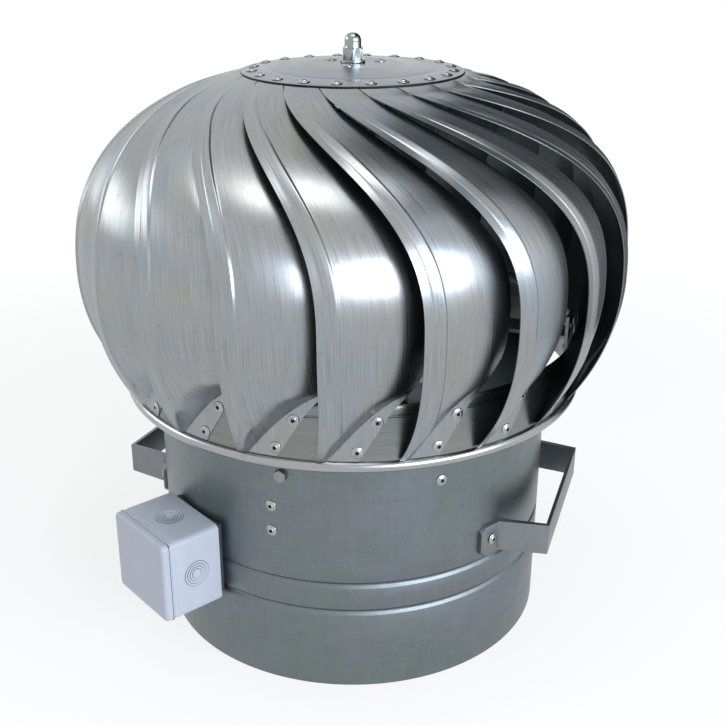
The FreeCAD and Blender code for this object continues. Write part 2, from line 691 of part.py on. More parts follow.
def box_inside(doc, back, front, middle):
    centre = "box_low + box_high / 2"
    plugs = new_body(doc, "box_knockouts")
    for plane, low, spot in (
            ("XY_Plane", "box_low + 0.6", ("0", middle)),
            ("XY_Plane", "box_low + box_high - box_wall", ("0", middle)),
            ("YZ_Plane", "0 - box_width / 2 + 0.6", (middle, centre)),
            ("YZ_Plane", "box_width / 2 - box_wall", (middle, centre))):
        pad(plugs, circles(plugs, plane, [spot + ("knockout_radius",)], low), "box_wall - 0.6")
    turn_to(plugs, "box_turn")
    keep(plugs, "box_knockouts")
    block = new_body(doc, "terminal_block")
    pad(block, outline(block, "XZ_Plane", rectangle(
        "0 - terminal_width / 2", "terminal_width / 2", centre + " + 12", centre + " + 30"),
        back + " + box_wall"), "terminal_deep")
    turn_to(block, "box_turn")
    keep(block, "terminal_block")
    foam = new_body(doc, "foam_body")
    pad(foam, outline(foam, "XZ_Plane", rectangle(
        "0 - box_width / 2 + 6", "box_width / 2 - 6", "box_low + 4", "box_low + box_high - 4"),
        "collar_radius - 12"), "box_stand + 12 - seat_gap")
    pocket(foam, circles(foam, "XZ_Plane", [("0", centre, "grommet_neck + 4")]), None, False, True)
    turn_to(foam, "box_turn")
    bore = doc.addObject("Part::Cylinder", "foam_bore")
    bore.setExpression("Radius", s("collar_radius + seat_gap"))
    bore.Height = 600
    cut = doc.addObject("Part::Cut", "foam_node")
    cut.Base = foam
    cut.Tool = bore
    keep(cut, "box_foam_pad")
    grommet = new_body(doc, "cable_grommet")
    sleeve = "grommet_neck - hole_gap"
    inside = "0 - ( collar_radius - collar_wall - groove_deep - sheet_sag * 5 )"
    revolve(grommet, outline(grommet, "XY_Plane", [
        ("grommet_bore", inside + " + 3"), ("grommet_neck + 3", inside + " + 3"),
        ("grommet_neck + 3", inside),
        (sleeve, inside),
        (sleeve, "0 - ( " + back + " + box_wall + 1 )"),
        ("grommet_bore", "0 - ( " + back + " + box_wall + 1 )")], centre))
    turn_to(grommet, "box_turn")
    keep(grommet, "cable_grommet")


# Shaft, hubs and spider

def shaft_and_hubs(doc):
    seat = "disc_edge_high + disc_rise - disc_wall - seat_gap"
    shaft = new_body(doc, "shaft")
    revolve(shaft, outline(shaft, "XZ_Plane", [
        ("0", "shaft_low"), ("shaft_end_radius", "shaft_low"),
        ("shaft_end_radius", "low_traverse_high + traverse_wall + motor_wall + lower_bearing_high"),
        ("shaft_radius", "low_traverse_high + traverse_wall + motor_wall + lower_bearing_high"),
        ("shaft_radius", seat), ("stud_radius", seat),
        ("stud_radius", "disc_edge_high + disc_rise + washer_high + nut_high + 4"),
        ("0", "disc_edge_high + disc_rise + washer_high + nut_high + 4")]))
    keep(shaft, "shaft")
    rotor = new_body(doc, "motor_rotor")
    revolve(rotor, outline(rotor, "XZ_Plane", rectangle(
        "shaft_radius + fit_gap", "rotor_radius",
        "low_traverse_high + traverse_wall + motor_wall + 13",
        "low_traverse_high + traverse_wall + motor_high - motor_wall - 5")))
    keep(rotor, "motor_rotor")
    flange = new_body(doc, "hub_flange")
    revolve(flange, outline(flange, "XZ_Plane", [
        ("shaft_radius + fit_gap", seat + " - hub_long"), ("hub_radius", seat + " - hub_long"),
        ("hub_radius", seat + " - hub_flange_high"),
        ("disc_flat_radius - 2", seat + " - hub_flange_high"),
        ("disc_flat_radius - 2", seat), ("shaft_radius + fit_gap", seat)]))
    hole = pocket(flange, circles(flange, "XY_Plane", [
        ("hub_rivet_radius", "0", "rivet_radius + hole_gap")], seat), "hub_flange_high + 1")
    polar(flange, [hole], "hub_rivet_count")
    turn_to(flange, "hub_rivet_turn")
    keep(flange, "hub_flange")
    lower = new_body(doc, "lower_hub")
    revolve(lower, outline(lower, "XZ_Plane", [
        ("shaft_radius + fit_gap", "arm_high - hub_long"), ("hub_radius", "arm_high - hub_long"),
        ("hub_radius", "arm_high - hub_flange_high"),
        ("spider_flange", "arm_high - hub_flange_high"), ("spider_flange", "arm_high - seat_gap"),
        ("hub_radius", "arm_high - seat_gap"), ("hub_radius", "arm_high + 14"),
        ("shaft_radius + fit_gap", "arm_high + 14")]))
    hole = pocket(lower, circles(lower, "XY_Plane", [
        ("0", "0 - spider_flange + 12", "rivet_radius + hole_gap")], "arm_high"),
        "hub_flange_high + 1")
    polar(lower, [hole], "arm_count")
    turn_to(lower, "arm_turn")
    keep(lower, "lower_hub")
    spider(doc)


def spider(doc):
    body = new_body(doc, "rotor_spider_body")
    out = "0 - ring_radius"
    bend = "0 - ( ring_radius - ring_wall * 2 - seat_gap - arm_wall )"
    top = "arm_high + arm_wall"
    strap = pad(body, outline(body, "YZ_Plane", [
        ("0 - hub_radius - 1", "arm_high"), ("0 - hub_radius - 1", top), (bend, top),
        (bend, "plate_top"), (out, "plate_top"), (out, "plate_low"), (bend, "plate_low"),
        (bend, "arm_high")]), "arm_width", True)
    holes = [radial_spot(body, "arm_width / 4 - 0.5", "plate_top - 10", "3.2"),
             radial_spot(body, "0 - arm_width / 4 + 0.5", "plate_top - 10", "3.2"),
             radial_spot(body, "0", "plate_rivet_high", "rivet_radius + hole_gap")]
    seat = pocket(body, circles(body, "XY_Plane", [
        ("0", "0 - spider_flange + 12", "rivet_radius + hole_gap")], top), "arm_wall + 1")
    polar(body, [strap] + holes + [seat], "arm_count")
    turn_to(body, "arm_turn")
    trimmed(doc, body, "ring_radius - ring_wall * 2 - seat_gap", "rotor_spider")


def radial_spot(body, across, high, radius):
    return pocket(body, circles(body, "XZ_Plane", [(across, high, radius)]), None, False, True)


# Ring and disc

def head_sheets(doc):
    ring = new_body(doc, "lower_ring")
    inner, folded = "ring_radius - ring_wall", "ring_radius - ring_wall * 2"
    wall = [(inner, "ring_low"), ("ring_radius", "ring_low")]
    wall += bead_points("ring_radius", "ring_low + bead_radius", "bead_radius")
    wall += [("ring_radius", "ring_low + bead_radius * 2"), ("ring_radius", "ring_top"),
             (folded, "ring_top"), (folded, "ring_top - hem_high"),
             (inner, "ring_top - hem_high")]
    revolve(ring, outline(ring, "XZ_Plane", wall))
    low = radial_hole(ring, "row_low_high", "blade_turn + row_low_lead")
    polar(ring, [low], "blade_count")
    top = radial_hole(ring, "row_top_high", "blade_turn + row_top_lead")
    polar(ring, [top], "blade_count")
    arm = radial_hole(ring, "plate_rivet_high", "arm_turn")
    polar(ring, [arm], "arm_count")
    keep(ring, "lower_ring")
    disc = new_body(doc, "top_disc")
    flat = "disc_edge_high + disc_rise"
    revolve(disc, outline(disc, "XZ_Plane", [
        ("stud_radius + hole_gap", flat + " - disc_wall"), ("disc_flat_radius", flat + " - disc_wall"),
        ("disc_radius", "disc_edge_high - disc_wall"), ("disc_radius", "disc_edge_high"),
        ("disc_flat_radius", flat), ("stud_radius + hole_gap", flat)]))
    rim = disc_holes(disc, "disc_rivet_radius", flat, "disc_rise + disc_wall + 1")
    polar(disc, [rim], "blade_count")
    turn_to(disc, "blade_turn + disc_rivet_lead")
    hub = pocket(disc, circles(disc, "XY_Plane", [
        ("hub_rivet_radius * sin( hub_rivet_turn - blade_turn - disc_rivet_lead + 90 )",
         "0 - hub_rivet_radius * cos( hub_rivet_turn - blade_turn - disc_rivet_lead + 90 )",
         "rivet_radius + hole_gap")], flat), "disc_wall + 1")
    polar(disc, [hub], "hub_rivet_count")
    keep(disc, "top_disc")
    backing = new_body(doc, "disc_backing_ring")
    stack = " - disc_wall - blade_wall - seat_gap * 3 - end_sag"
    revolve(backing, outline(backing, "XZ_Plane", [
        ("backing_inner", cone("backing_inner") + stack),
        ("backing_inner", cone("backing_inner") + stack + " - disc_wall"),
        ("backing_outer", cone("backing_outer") + stack + " - disc_wall"),
        ("backing_outer", cone("backing_outer") + stack)]))
    rim = disc_holes(backing, "disc_rivet_radius", flat, "disc_rise + disc_wall * 4 + 2")
    polar(backing, [rim], "blade_count")
    turn_to(backing, "blade_turn + disc_rivet_lead")
    keep(backing, "disc_backing_ring")


def bead_points(radius, high, size_of):
    # a half-round bead as short flats
    points = []
    for step in range(1, 8):
        angle = -90 + 180 * step / 8.0
        rise = "%s %s * sin( %.1f )" % ("+" if angle > 0 else "-", size_of, abs(angle))
        points.append(("%s + %s * cos( %.1f )" % (radius, size_of, angle), "%s %s" % (high, rise)))
    return points


def cone(radius):
    # upper side of the disc's sloping rim at a radius
    return ("disc_edge_high + disc_rise * ( disc_radius - " + radius
            + " ) / ( disc_radius - disc_flat_radius )")


def disc_holes(body, radius, high, deep):
    return pocket(body, circles(body, "XY_Plane", [("0", "0 - " + radius, "rivet_radius + hole_gap")],
                                high), deep)


# Blades

def blades(doc):
    shape = blade_shape(doc)
    count = int(size(doc, "blade_count"))
    for number in range(count):
        label = "blade_%02d" % (number + 1)
        node = doc.addObject("Part::Feature", label)
        node.Shape = shape
        node.setExpression("Placement", "placement(vector(0; 0; 0); rotationz(Sizes.blade_turn"
                           " + %d * 360 / Sizes.blade_count))" % number)
        keep(node, label)


def blade_shape(doc):
    # one doubly curved sheet, lofted through thin sections from the ring up to the disc
    get = lambda alias: size(doc, alias)
    foot, body, end = [[section_wire(get, station) for station in group] for group in stations(get)]
    sheet = Part.makeLoft(foot, True, False)
    sheet = sheet.fuse([Part.makeLoft(body, True, False), Part.makeLoft(end, True, True)])
    shank = get("rivet_radius") + get("hole_gap")
    for high, lead in (("row_low_high", "row_low_lead"), ("row_top_high", "row_top_lead")):
        angle = math.radians(get(lead))
        out = FreeCAD.Vector(math.sin(angle), -math.cos(angle), 0)
        start = out * (get("ring_radius") - 4)
        start.z = get(high)
        sheet = sheet.cut(Part.makeCylinder(shank, 10, start, out))
    angle = math.radians(get("disc_rivet_lead"))
    spot = FreeCAD.Vector(math.sin(angle), -math.cos(angle), 0) * get("disc_rivet_radius")
    spot.z = get("disc_edge_high") - 10
    return sheet.cut(Part.makeCylinder(shank, 20, spot, FreeCAD.Vector(0, 0, 1)))


def stations(get):
    # the foot on the ring, the free sheet up to the disc's rim, and the end under the disc
    low, top, middle = foot_high(get), get("ring_top"), get("head_mid_high")
    foot = [("belly", low + (top - low) * k / 4.0) for k in range(5)]
    free = [("belly", top + (middle - top) * k / 4.0) for k in (1, 2, 3, 4)]
    rim = rim_angle(get)
    crown = [("crown", rim * k / 8.0) for k in (1, 2, 3, 4, 5, 6, 7, 7.55)]
    return foot, foot[-1:] + free + crown + [("tab", 0.0)], [("tab", 0.0), ("tab", 1.0)]


def foot_high(get):
    # a blade's foot stands just above the ring's bead
    return get("ring_low") + get("bead_radius") * 2 + get("foot_gap")


def crease_place(get, high):
    # the flap on the ring tapers away above it, and the crease beside it ends at the inner edge
    foot = get("foot_crease")
    return min(1.0, foot + (1 - foot) * (high - foot_high(get)) / get("crease_rise"))


def fold_place(get, high):
    rise = smooth((high - get("ring_top")) / (get("head_mid_high") - get("ring_top")))
    return get("ring_fold") + (get("fold_share") - get("ring_fold")) * rise


def rim_angle(get):
    ratio = (get("disc_radius") + get("rim_gap")) / get("head_radius")
    return math.degrees(math.acos(ratio ** (get("crown_power") / 2)))


def left_edge(get, station):
    kind, value = station
    radius, middle = get("head_radius"), get("head_mid_high")
    if kind == "belly":
        drop = (middle - value) / get("belly_high")
        at = radius * math.sqrt(1 - drop * drop)
        low = radius * math.sqrt(1 - ((middle - foot_high(get)) / get("belly_high")) ** 2)
        lead = -get("tip_lag") * ((radius - at) / (radius - low)) ** 2
        return at, value, lead
    if kind == "crown":
        power = 2 / get("crown_power")
        at = radius * math.cos(math.radians(value)) ** power
        high = middle + get("crown_high") * math.sin(math.radians(value)) ** power
    else:
        at = get("disc_radius") + get("rim_gap") - value * get("tab_overlap")
        high = under_disc(get, at)
    share = (radius - at) / (radius - get("disc_radius"))
    return at, high, -get("blade_sweep") * share ** get("sweep_power")


def under_disc(get, radius):
    slope = get("disc_rise") / (get("disc_radius") - get("disc_flat_radius"))
    edge = get("disc_edge_high") - get("disc_wall") - get("seat_gap")
    return edge + slope * (get("disc_radius") - radius)


def section_points(get, station):
    # outer face across the blade: rib at 'strip', soft bend at 'fold', flap from 'crease' on
    kind, value = station
    at, high, lead = left_edge(get, station)
    radius = get("head_radius")
    seat = get("ring_radius") + get("seat_gap") + get("blade_wall")
    if kind == "belly":
        rise = smooth((value - get("ring_top")) / (get("head_mid_high") - get("ring_top")))
        early = smooth((value - get("ring_top") + 10) / 56.0)
        slope = (get("row_top_lead") - get("row_low_lead")) / (get("row_top_high") - get("row_low_high"))
        cut = get("row_low_lead") + 1.7 + slope * (value - get("row_low_high"))
        right = cut * (1 - early) + get("blade_angle") * early
        crease = crease_place(get, value)
        fold = fold_place(get, value) * crease
        inner = seat * (1 - rise) + (get("head_radius") - get("blade_tuck")) * rise
        width = right - lead
        depth = (get("blade_bend") / get("blade_tuck") * (at - inner), at - inner)
        normal = (1.0, 0.0)
    else:
        rim = get("disc_radius") + get("rim_gap")
        share = 1.0 if kind == "tab" else (radius - at) / (radius - rim)
        narrow = share ** get("narrow_power")
        width = get("blade_angle") + (get("blade_top_angle") - get("blade_angle")) * narrow
        taper = (1 - share) ** get("tuck_power")
        crease, fold = 1.0, get("fold_share")
        depth = (get("blade_bend") * taper, get("blade_tuck") * taper)
        normal = (0.0, 1.0) if kind == "tab" else crown_normal(get, value)
    strip = min(get("strip_width") / (math.radians(max(width, 1.0)) * at), 0.45 * crease)
    seam = min(crease, 0.93)
    spots = [[strip * k / 3 for k in range(4)],
             [strip + (fold - strip) * k / 6 for k in range(6)]
             + [fold + (seam - fold) * k / 4 for k in range(5)],
             [seam + (1 - seam) * k / 3 for k in range(4)]]
    rows = [[blade_point(at, high, lead + width * across, sunk(across, strip, fold, crease, depth),
                         normal) for across in row] for row in spots]
    return straightened(rows) if kind == "tab" else rows


def straightened(rows):
    # the end under the disc is flat, with straight cross sections
    first, last = rows[0][0], rows[-1][-1]
    steps = sum(len(row) - 1 for row in rows)
    straight, number = [], 0
    for row in rows:
        straight.append([first + (last - first) * ((number + k) / steps) for k in range(len(row))])
        number += len(row) - 1
    return straight


def sunk(across, strip, fold, crease, depth):
    # depth below the outer envelope at a share of the blade's width
    def curve(share):
        part = share / fold
        return depth[0] * (0.42 * part + 0.58 * part * part)
    if across <= strip:
        return 0.6 * curve(strip) * across / strip
    if across <= fold:
        return curve(across) - 0.4 * curve(strip) * (fold - across) / (fold - strip)
    if across < crease:
        return depth[0] + (depth[1] - depth[0]) * (across - fold) / (crease - fold)
    return depth[1]


def blade_point(radius, high, angle, depth, normal):
    turn = math.radians(angle)
    reach = radius - depth * normal[0]
    return FreeCAD.Vector(reach * math.sin(turn), -reach * math.cos(turn), high - depth * normal[1])


def crown_normal(get, angle):
    power = get("crown_power")
    across = math.cos(math.radians(angle)) ** (2 * (power - 1) / power) / get("head_radius")
    up = math.sin(math.radians(angle)) ** (2 * (power - 1) / power) / get("crown_high")
    return unit(across, up)


def unit(across, up):
    length = math.hypot(across, up)
    return across / length, up / length


def smooth(share):
    share = max(0.0, min(1.0, share))
    return share * share * (3 - 2 * share)


def section_wire(get, station):
    kind, value = station
    rows = section_points(get, station)
    if kind == "belly":
        normal = (1.0, 0.0)
    elif kind == "crown":
        normal = crown_normal(get, value)
    else:
        normal = (0.0, 1.0)
    inner_rows = [[inward(point, normal, get("blade_wall")) for point in row] for row in rows]
    edges = [curve_edge(row) for row in rows]
    edges.append(Part.LineSegment(rows[-1][-1], inner_rows[-1][-1]).toShape())
    edges += [curve_edge(row[::-1]) for row in inner_rows[::-1]]
    edges.append(Part.LineSegment(inner_rows[0][0], rows[0][0]).toShape())
    return Part.Wire(edges)


def inward(point, normal, wall):
    reach = math.hypot(point.x, point.y)
    share = (reach - wall * normal[0]) / reach
    return FreeCAD.Vector(point.x * share, point.y * share, point.z - wall * normal[1])


def curve_edge(points):
    curve = Part.BSplineCurve()
    curve.interpolate(points)
    return curve.toShape()


# Rivets of the head

def head_rivets(doc):
    rivets = new_body(doc, "ring_rivets")
    seat = "( ring_radius + seat_gap * 2 + blade_wall )"
    grip = "( ring_wall + blade_wall + seat_gap * 3 )"
    low = radial_rivet(rivets, seat, grip, "row_low_high", "blade_turn + row_low_lead")
    polar(rivets, [low], "blade_count")
    top = radial_rivet(rivets, seat, grip, "row_top_high", "blade_turn + row_top_lead")
    polar(rivets, [top], "blade_count")
    keep(rivets, "ring_rivets")
    rim = new_body(doc, "disc_rivets")
    upright_rivet(rim, "disc_rivet_radius", "( " + cone("disc_rivet_radius") + " + rivet_tilt )",
                  "( disc_wall * 2 + blade_wall + seat_gap * 4 + end_sag + rivet_tilt * 2 )",
                  "blade_count")
    turn_to(rim, "blade_turn + disc_rivet_lead - 90")
    keep(rim, "disc_rivets")
    hub = new_body(doc, "hub_rivets")
    upright_rivet(hub, "hub_rivet_radius", "( disc_edge_high + disc_rise + seat_gap )",
                  "( disc_wall + hub_flange_high + seat_gap * 3 )", "hub_rivet_count")
    turn_to(hub, "hub_rivet_turn")
    keep(hub, "hub_rivets")
    arms = new_body(doc, "arm_rivets")
    plate = radial_rivet(arms, "( ring_radius + seat_gap )",
                         "( ring_wall * 2 + arm_wall + seat_gap * 3 )", "plate_rivet_high", "0")
    polar(arms, [plate], "arm_count")
    low = upright_outline(arms, "spider_flange - 12", "( arm_high + arm_wall + seat_gap )",
                          "( arm_wall + hub_flange_high + seat_gap * 3 )", "YZ_Plane")
    seat = revolve(arms, low)
    polar(arms, [seat], "arm_count")
    turn_to(arms, "arm_turn")
    keep(arms, "arm_rivets")


def upright_outline(body, reach, seat, grip, plane="XZ_Plane"):
    # same rivet, standing upright at a distance from the axis
    drawing = outline(body, plane, [
        ("0", seat + " + rivet_head_high / 2"), ("rivet_radius / 2", seat + " + rivet_head_high / 2"),
        ("rivet_radius / 2", seat + " + rivet_head_high"),
        ("rivet_head / 2", seat + " + rivet_head_high"),
        ("rivet_head", seat + " + rivet_head_high / 3"), ("rivet_head", seat),
        ("rivet_radius", seat), ("rivet_radius", seat + " - " + grip),
        ("rivet_tail", seat + " - " + grip), ("rivet_tail", seat + " - " + grip + " - rivet_tail_long"),
        ("0", seat + " - " + grip + " - rivet_tail_long")])
    sign = "" if plane == "XZ_Plane" else "0 - "
    drawing.setExpression("AttachmentOffset.Base.x", s(sign + "( " + reach + " )"))
    return drawing


def upright_rivet(body, reach, seat, grip, count):
    feature = revolve(body, upright_outline(body, reach, seat, grip))
    return polar(body, [feature], count)


# Cap nut

def cap(doc):
    base = "disc_edge_high + disc_rise + seat_gap"
    washer = new_body(doc, "cap_washer")
    revolve(washer, outline(washer, "XZ_Plane", rectangle(
        "stud_radius + hole_gap", "washer_radius", base, base + " + washer_high - seat_gap * 2")))
    keep(washer, "cap_washer")
    nut = new_body(doc, "cap_nut")
    foot = "disc_edge_high + disc_rise + washer_high"
    corners = [("nut_radius * sin( %d )" % (60 * k + 15), "nut_radius * cos( %d )" % (60 * k + 15))
               for k in range(6)]
    pad(nut, outline(nut, "XY_Plane", corners, foot), "nut_high")
    dome = [("0", foot + " + nut_high - 1"), ("dome_radius", foot + " + nut_high - 1"),
            ("dome_radius", foot + " + nut_high + dome_high - dome_radius")]
    for step in range(1, 6):
        angle = 18 * step
        along = foot + " + nut_high + dome_high - dome_radius + dome_radius * sin( %d )" % angle
        dome.append(("dome_radius * cos( %d )" % angle if step < 5 else "0", along))
    revolve(nut, outline(nut, "XZ_Plane", dome))
    pocket(nut, circles(nut, "XY_Plane", [("0", "0", "stud_radius + fit_gap")], foot),
           "nut_high + 4.5", False, True)
    keep(nut, "cap_nut")


def finish(doc):
    os.makedirs("parts", exist_ok=True)
    doc.recompute()
    for thing in doc.Objects:
        if "Invalid" in thing.State or "Error" in thing.State:
            raise ValueError("%s did not compute: %s" % (thing.Label, thing.State))
    for node in NODES:
        if node.Shape.isNull() or not node.Shape.isValid():
            raise ValueError("%s has no valid shape" % node.Label)
        node.Shape.exportStep("parts/%s.step" % node.Label)
    print("%d nodes" % len(NODES))


main()
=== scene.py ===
import bpy
import bmesh
import json
import math
from mathutils import Matrix, Vector


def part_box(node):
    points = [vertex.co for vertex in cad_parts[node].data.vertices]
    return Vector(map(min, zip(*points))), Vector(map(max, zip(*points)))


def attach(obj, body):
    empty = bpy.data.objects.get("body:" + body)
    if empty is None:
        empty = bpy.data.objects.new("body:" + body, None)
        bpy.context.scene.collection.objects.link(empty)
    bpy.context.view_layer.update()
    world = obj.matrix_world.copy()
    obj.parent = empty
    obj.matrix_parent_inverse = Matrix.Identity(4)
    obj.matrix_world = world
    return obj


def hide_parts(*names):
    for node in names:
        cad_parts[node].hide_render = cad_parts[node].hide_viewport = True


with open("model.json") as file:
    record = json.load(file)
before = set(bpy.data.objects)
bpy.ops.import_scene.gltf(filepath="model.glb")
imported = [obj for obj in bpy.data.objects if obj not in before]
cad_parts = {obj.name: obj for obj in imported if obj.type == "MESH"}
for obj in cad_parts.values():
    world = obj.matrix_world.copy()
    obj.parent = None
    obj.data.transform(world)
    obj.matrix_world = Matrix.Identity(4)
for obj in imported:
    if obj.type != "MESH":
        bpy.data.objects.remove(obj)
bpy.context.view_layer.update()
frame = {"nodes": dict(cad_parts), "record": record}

# Lengths below are in millimetres and are turned into metres when a mesh is made.
# Azimuth 0 points along -Y and grows towards +X, as in the CAD model.

MM = 0.001

COLLAR_RADIUS = 177.5
COLLAR_HIGH = 232.0
GROOVES = (74.8, 101.3)
GROOVE_WIDTH = 6.0
GROOVE_DEEP = 1.8
RING_RADIUS = 201.5
RING_LOW = 221.0
RING_TOP = 276.0
BEAD_RADIUS = 4.6

HEAD_RADIUS = 240.0
HEAD_MID = 337.0
CROWN_HIGH = 161.5
CROWN_POWER = 2.4
BELLY_HIGH = 204.0
BLADE_COUNT = 20
BLADE_WALL = 0.8
BLADE_TURN = 12.0
BLADE_LOW = RING_LOW + 2 * BEAD_RADIUS + 0.3
FOOT_CREASE = 0.28
CREASE_RISE = 60.0
RING_FOLD = 0.66
FREE_FOLD = 0.75
SOFT_SHARE = 0.42
LAST_SEAM = 0.93
LEAVE_BELOW = 10.0
LEAVE_HIGH = 56.0
CUT_MARGIN = 1.7
RIB_START = 4.0
RIB_FADE = 22.0
RIB_ROOM = 30.0
RIB_ROOM_ABOVE = 46.0
BLADE_TUCK = 26.0
BLADE_BEND = 13.0
TUCK_POWER = 1.15
NARROW_POWER = 4.0
BLADE_ANGLE = 21.0
BLADE_TOP_ANGLE = 17.2
BLADE_SWEEP = 46.0
SWEEP_POWER = 1.15
TIP_LAG = 2.0
STRIP_WIDTH = 13.0
RIM_GAP = 4.0
TAB_OVERLAP = 20.0
SEAT_GAP = 0.05

DISC_RADIUS = 93.8
DISC_EDGE_HIGH = 493.3
DISC_RISE = 6.0
DISC_FLAT_RADIUS = 34.0
DISC_WALL = 1.2
DISC_RIVET_RADIUS = 84.6
DISC_RIVET_LEAD = -38.4
ROW_LOW_HIGH = 238.2
ROW_LOW_LEAD = 6.9
ROW_TOP_HIGH = 263.0
ROW_TOP_LEAD = 11.2

HANDLE_TURNS = (71.0, -114.0)
HANDLE_RIVET = 29.7
HANDLE_WALL = 3.0
FOOT_LIFT = 0.5
HANDLE_MIDDLE = 121.0
TRAVERSE_RIVETS = ((-22.1, (146.8, 170.0)), (23.8, (192.5,)))

BOX_TURN = -49.7
BOX_WIDTH = 78.0
BOX_HIGH = 74.0
BOX_LOW = 66.5
BOX_DEEP = 48.0
BOX_WALL = 2.2
BOX_STAND = 3.0
GASKET_HIGH = 0.8
LID_DEEP = 7.0

FLOOR_FADE = (0.5, 1.5, 0.72, 1.0)


# Meshes

def outward(azimuth):
    turn = math.radians(azimuth)
    return Vector((math.sin(turn), -math.cos(turn), 0))


def mesh_object(name, points, faces, uvs=None, sharp=35.0):
    """A mesh piece from points in millimetres, with one uv pair in metres for each point."""
    mesh = bpy.data.meshes.new(name)
    mesh.from_pydata([(x * MM, y * MM, z * MM) for x, y, z in points], [], faces)
    mesh.validate()
    if uvs:
        layer = mesh.uv_layers.new(name="sheet")
        for loop in mesh.loops:
            layer.data[loop.index].uv = uvs[loop.vertex_index]
    for face in mesh.polygons:
        face.use_smooth = True
    mesh.set_sharp_from_angle(angle=math.radians(sharp))
    piece = bpy.data.objects.new(name, mesh)
    bpy.context.scene.collection.objects.link(piece)
    return piece


def lathe_parts(profile, steps, closed=True):
    """Points, faces and uvs of a profile of (radius, height) turned about the axis.
    The seam column is there twice, so that its uvs run on."""
    points, uvs, faces = [], [], []
    lengths = [0.0]
    for (r0, z0), (r1, z1) in zip(profile, profile[1:]):
        lengths.append(lengths[-1] + math.hypot(r1 - r0, z1 - z0))
    widest = max(r for r, z in profile)
    count = len(profile)
    for column in range(steps + 1):
        side = outward(360.0 * column / steps)
        for (radius, high), length in zip(profile, lengths):
            points.append((side.x * radius, side.y * radius, high))
            uvs.append((2 * math.pi * widest * column / steps * MM, length * MM))
    last = count if closed else count - 1
    for column in range(steps):
        for row in range(last):
            a = column * count + row
            b = column * count + (row + 1) % count
            faces.append((a, a + count, b + count, b))
    return points, faces, uvs


def lathe(name, profile, steps=256, closed=True, sharp=35.0):
    points, faces, uvs = lathe_parts(profile, steps, closed)
    piece = mesh_object(name, points, faces, uvs, sharp)
    weld(piece)
    return piece


def weld(piece, gap=0.00001):
    """Joins the doubled seam, while the uvs of its two sides stay apart."""
    work = bmesh.new()
    work.from_mesh(piece.data)
    bmesh.ops.remove_doubles(work, verts=work.verts, dist=gap)
    bmesh.ops.recalc_face_normals(work, faces=work.faces)
    work.to_mesh(piece.data)
    work.free()
    piece.data.set_sharp_from_angle(angle=math.radians(35))


def arc(centre, radius, first, last, steps):
    """Points on an arc in the (radius, height) plane, angles in degrees from the outward side."""
    found = []
    for step in range(steps + 1):
        angle = math.radians(first + (last - first) * step / steps)
        found.append((centre[0] + radius * math.cos(angle), centre[1] + radius * math.sin(angle)))
    return found


def joined(name, parts, sharp=35.0):
    """One mesh from several (points, faces, matrix, materials of the faces) groups."""
    points, faces, slots = [], [], []
    for group, group_faces, place, face_slots in parts:
        start = len(points)
        points += [place @ Vector(point) for point in group]
        faces += [tuple(start + number for number in face) for face in group_faces]
        slots += face_slots
    piece = mesh_object(name, points, faces, None, sharp)
    for face, slot in zip(piece.data.polygons, slots):
        face.material_index = slot
    return piece


def dressed(node, name, width=0.5, segments=3, angle=35.0):
    """A copy of a CAD node's mesh with its corners rounded as pressed or moulded metal has them."""
    source = frame["nodes"][node]
    piece = bpy.data.objects.new(name, source.data.copy())
    piece.data.materials.clear()
    bpy.context.scene.collection.objects.link(piece)
    work = bmesh.new()
    work.from_mesh(piece.data)
    bmesh.ops.remove_doubles(work, verts=work.verts, dist=0.00002)
    bmesh.ops.dissolve_limit(work, angle_limit=math.radians(0.6), verts=work.verts,
                             edges=work.edges)
    work.to_mesh(piece.data)
    work.free()
    for face in piece.data.polygons:
        face.use_smooth = True
    bevel = piece.modifiers.new("edges", "BEVEL")
    bevel.width = width * MM
    bevel.segments = segments
    bevel.limit_method = "ANGLE"
    bevel.angle_limit = math.radians(angle)
    bevel.harden_normals = True
    return piece


def stands_for(piece, body, slot, materials, *nodes):
    for material in materials:
        piece.data.materials.append(material)
    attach(piece, body)
    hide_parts(*nodes)
    return piece


# Materials

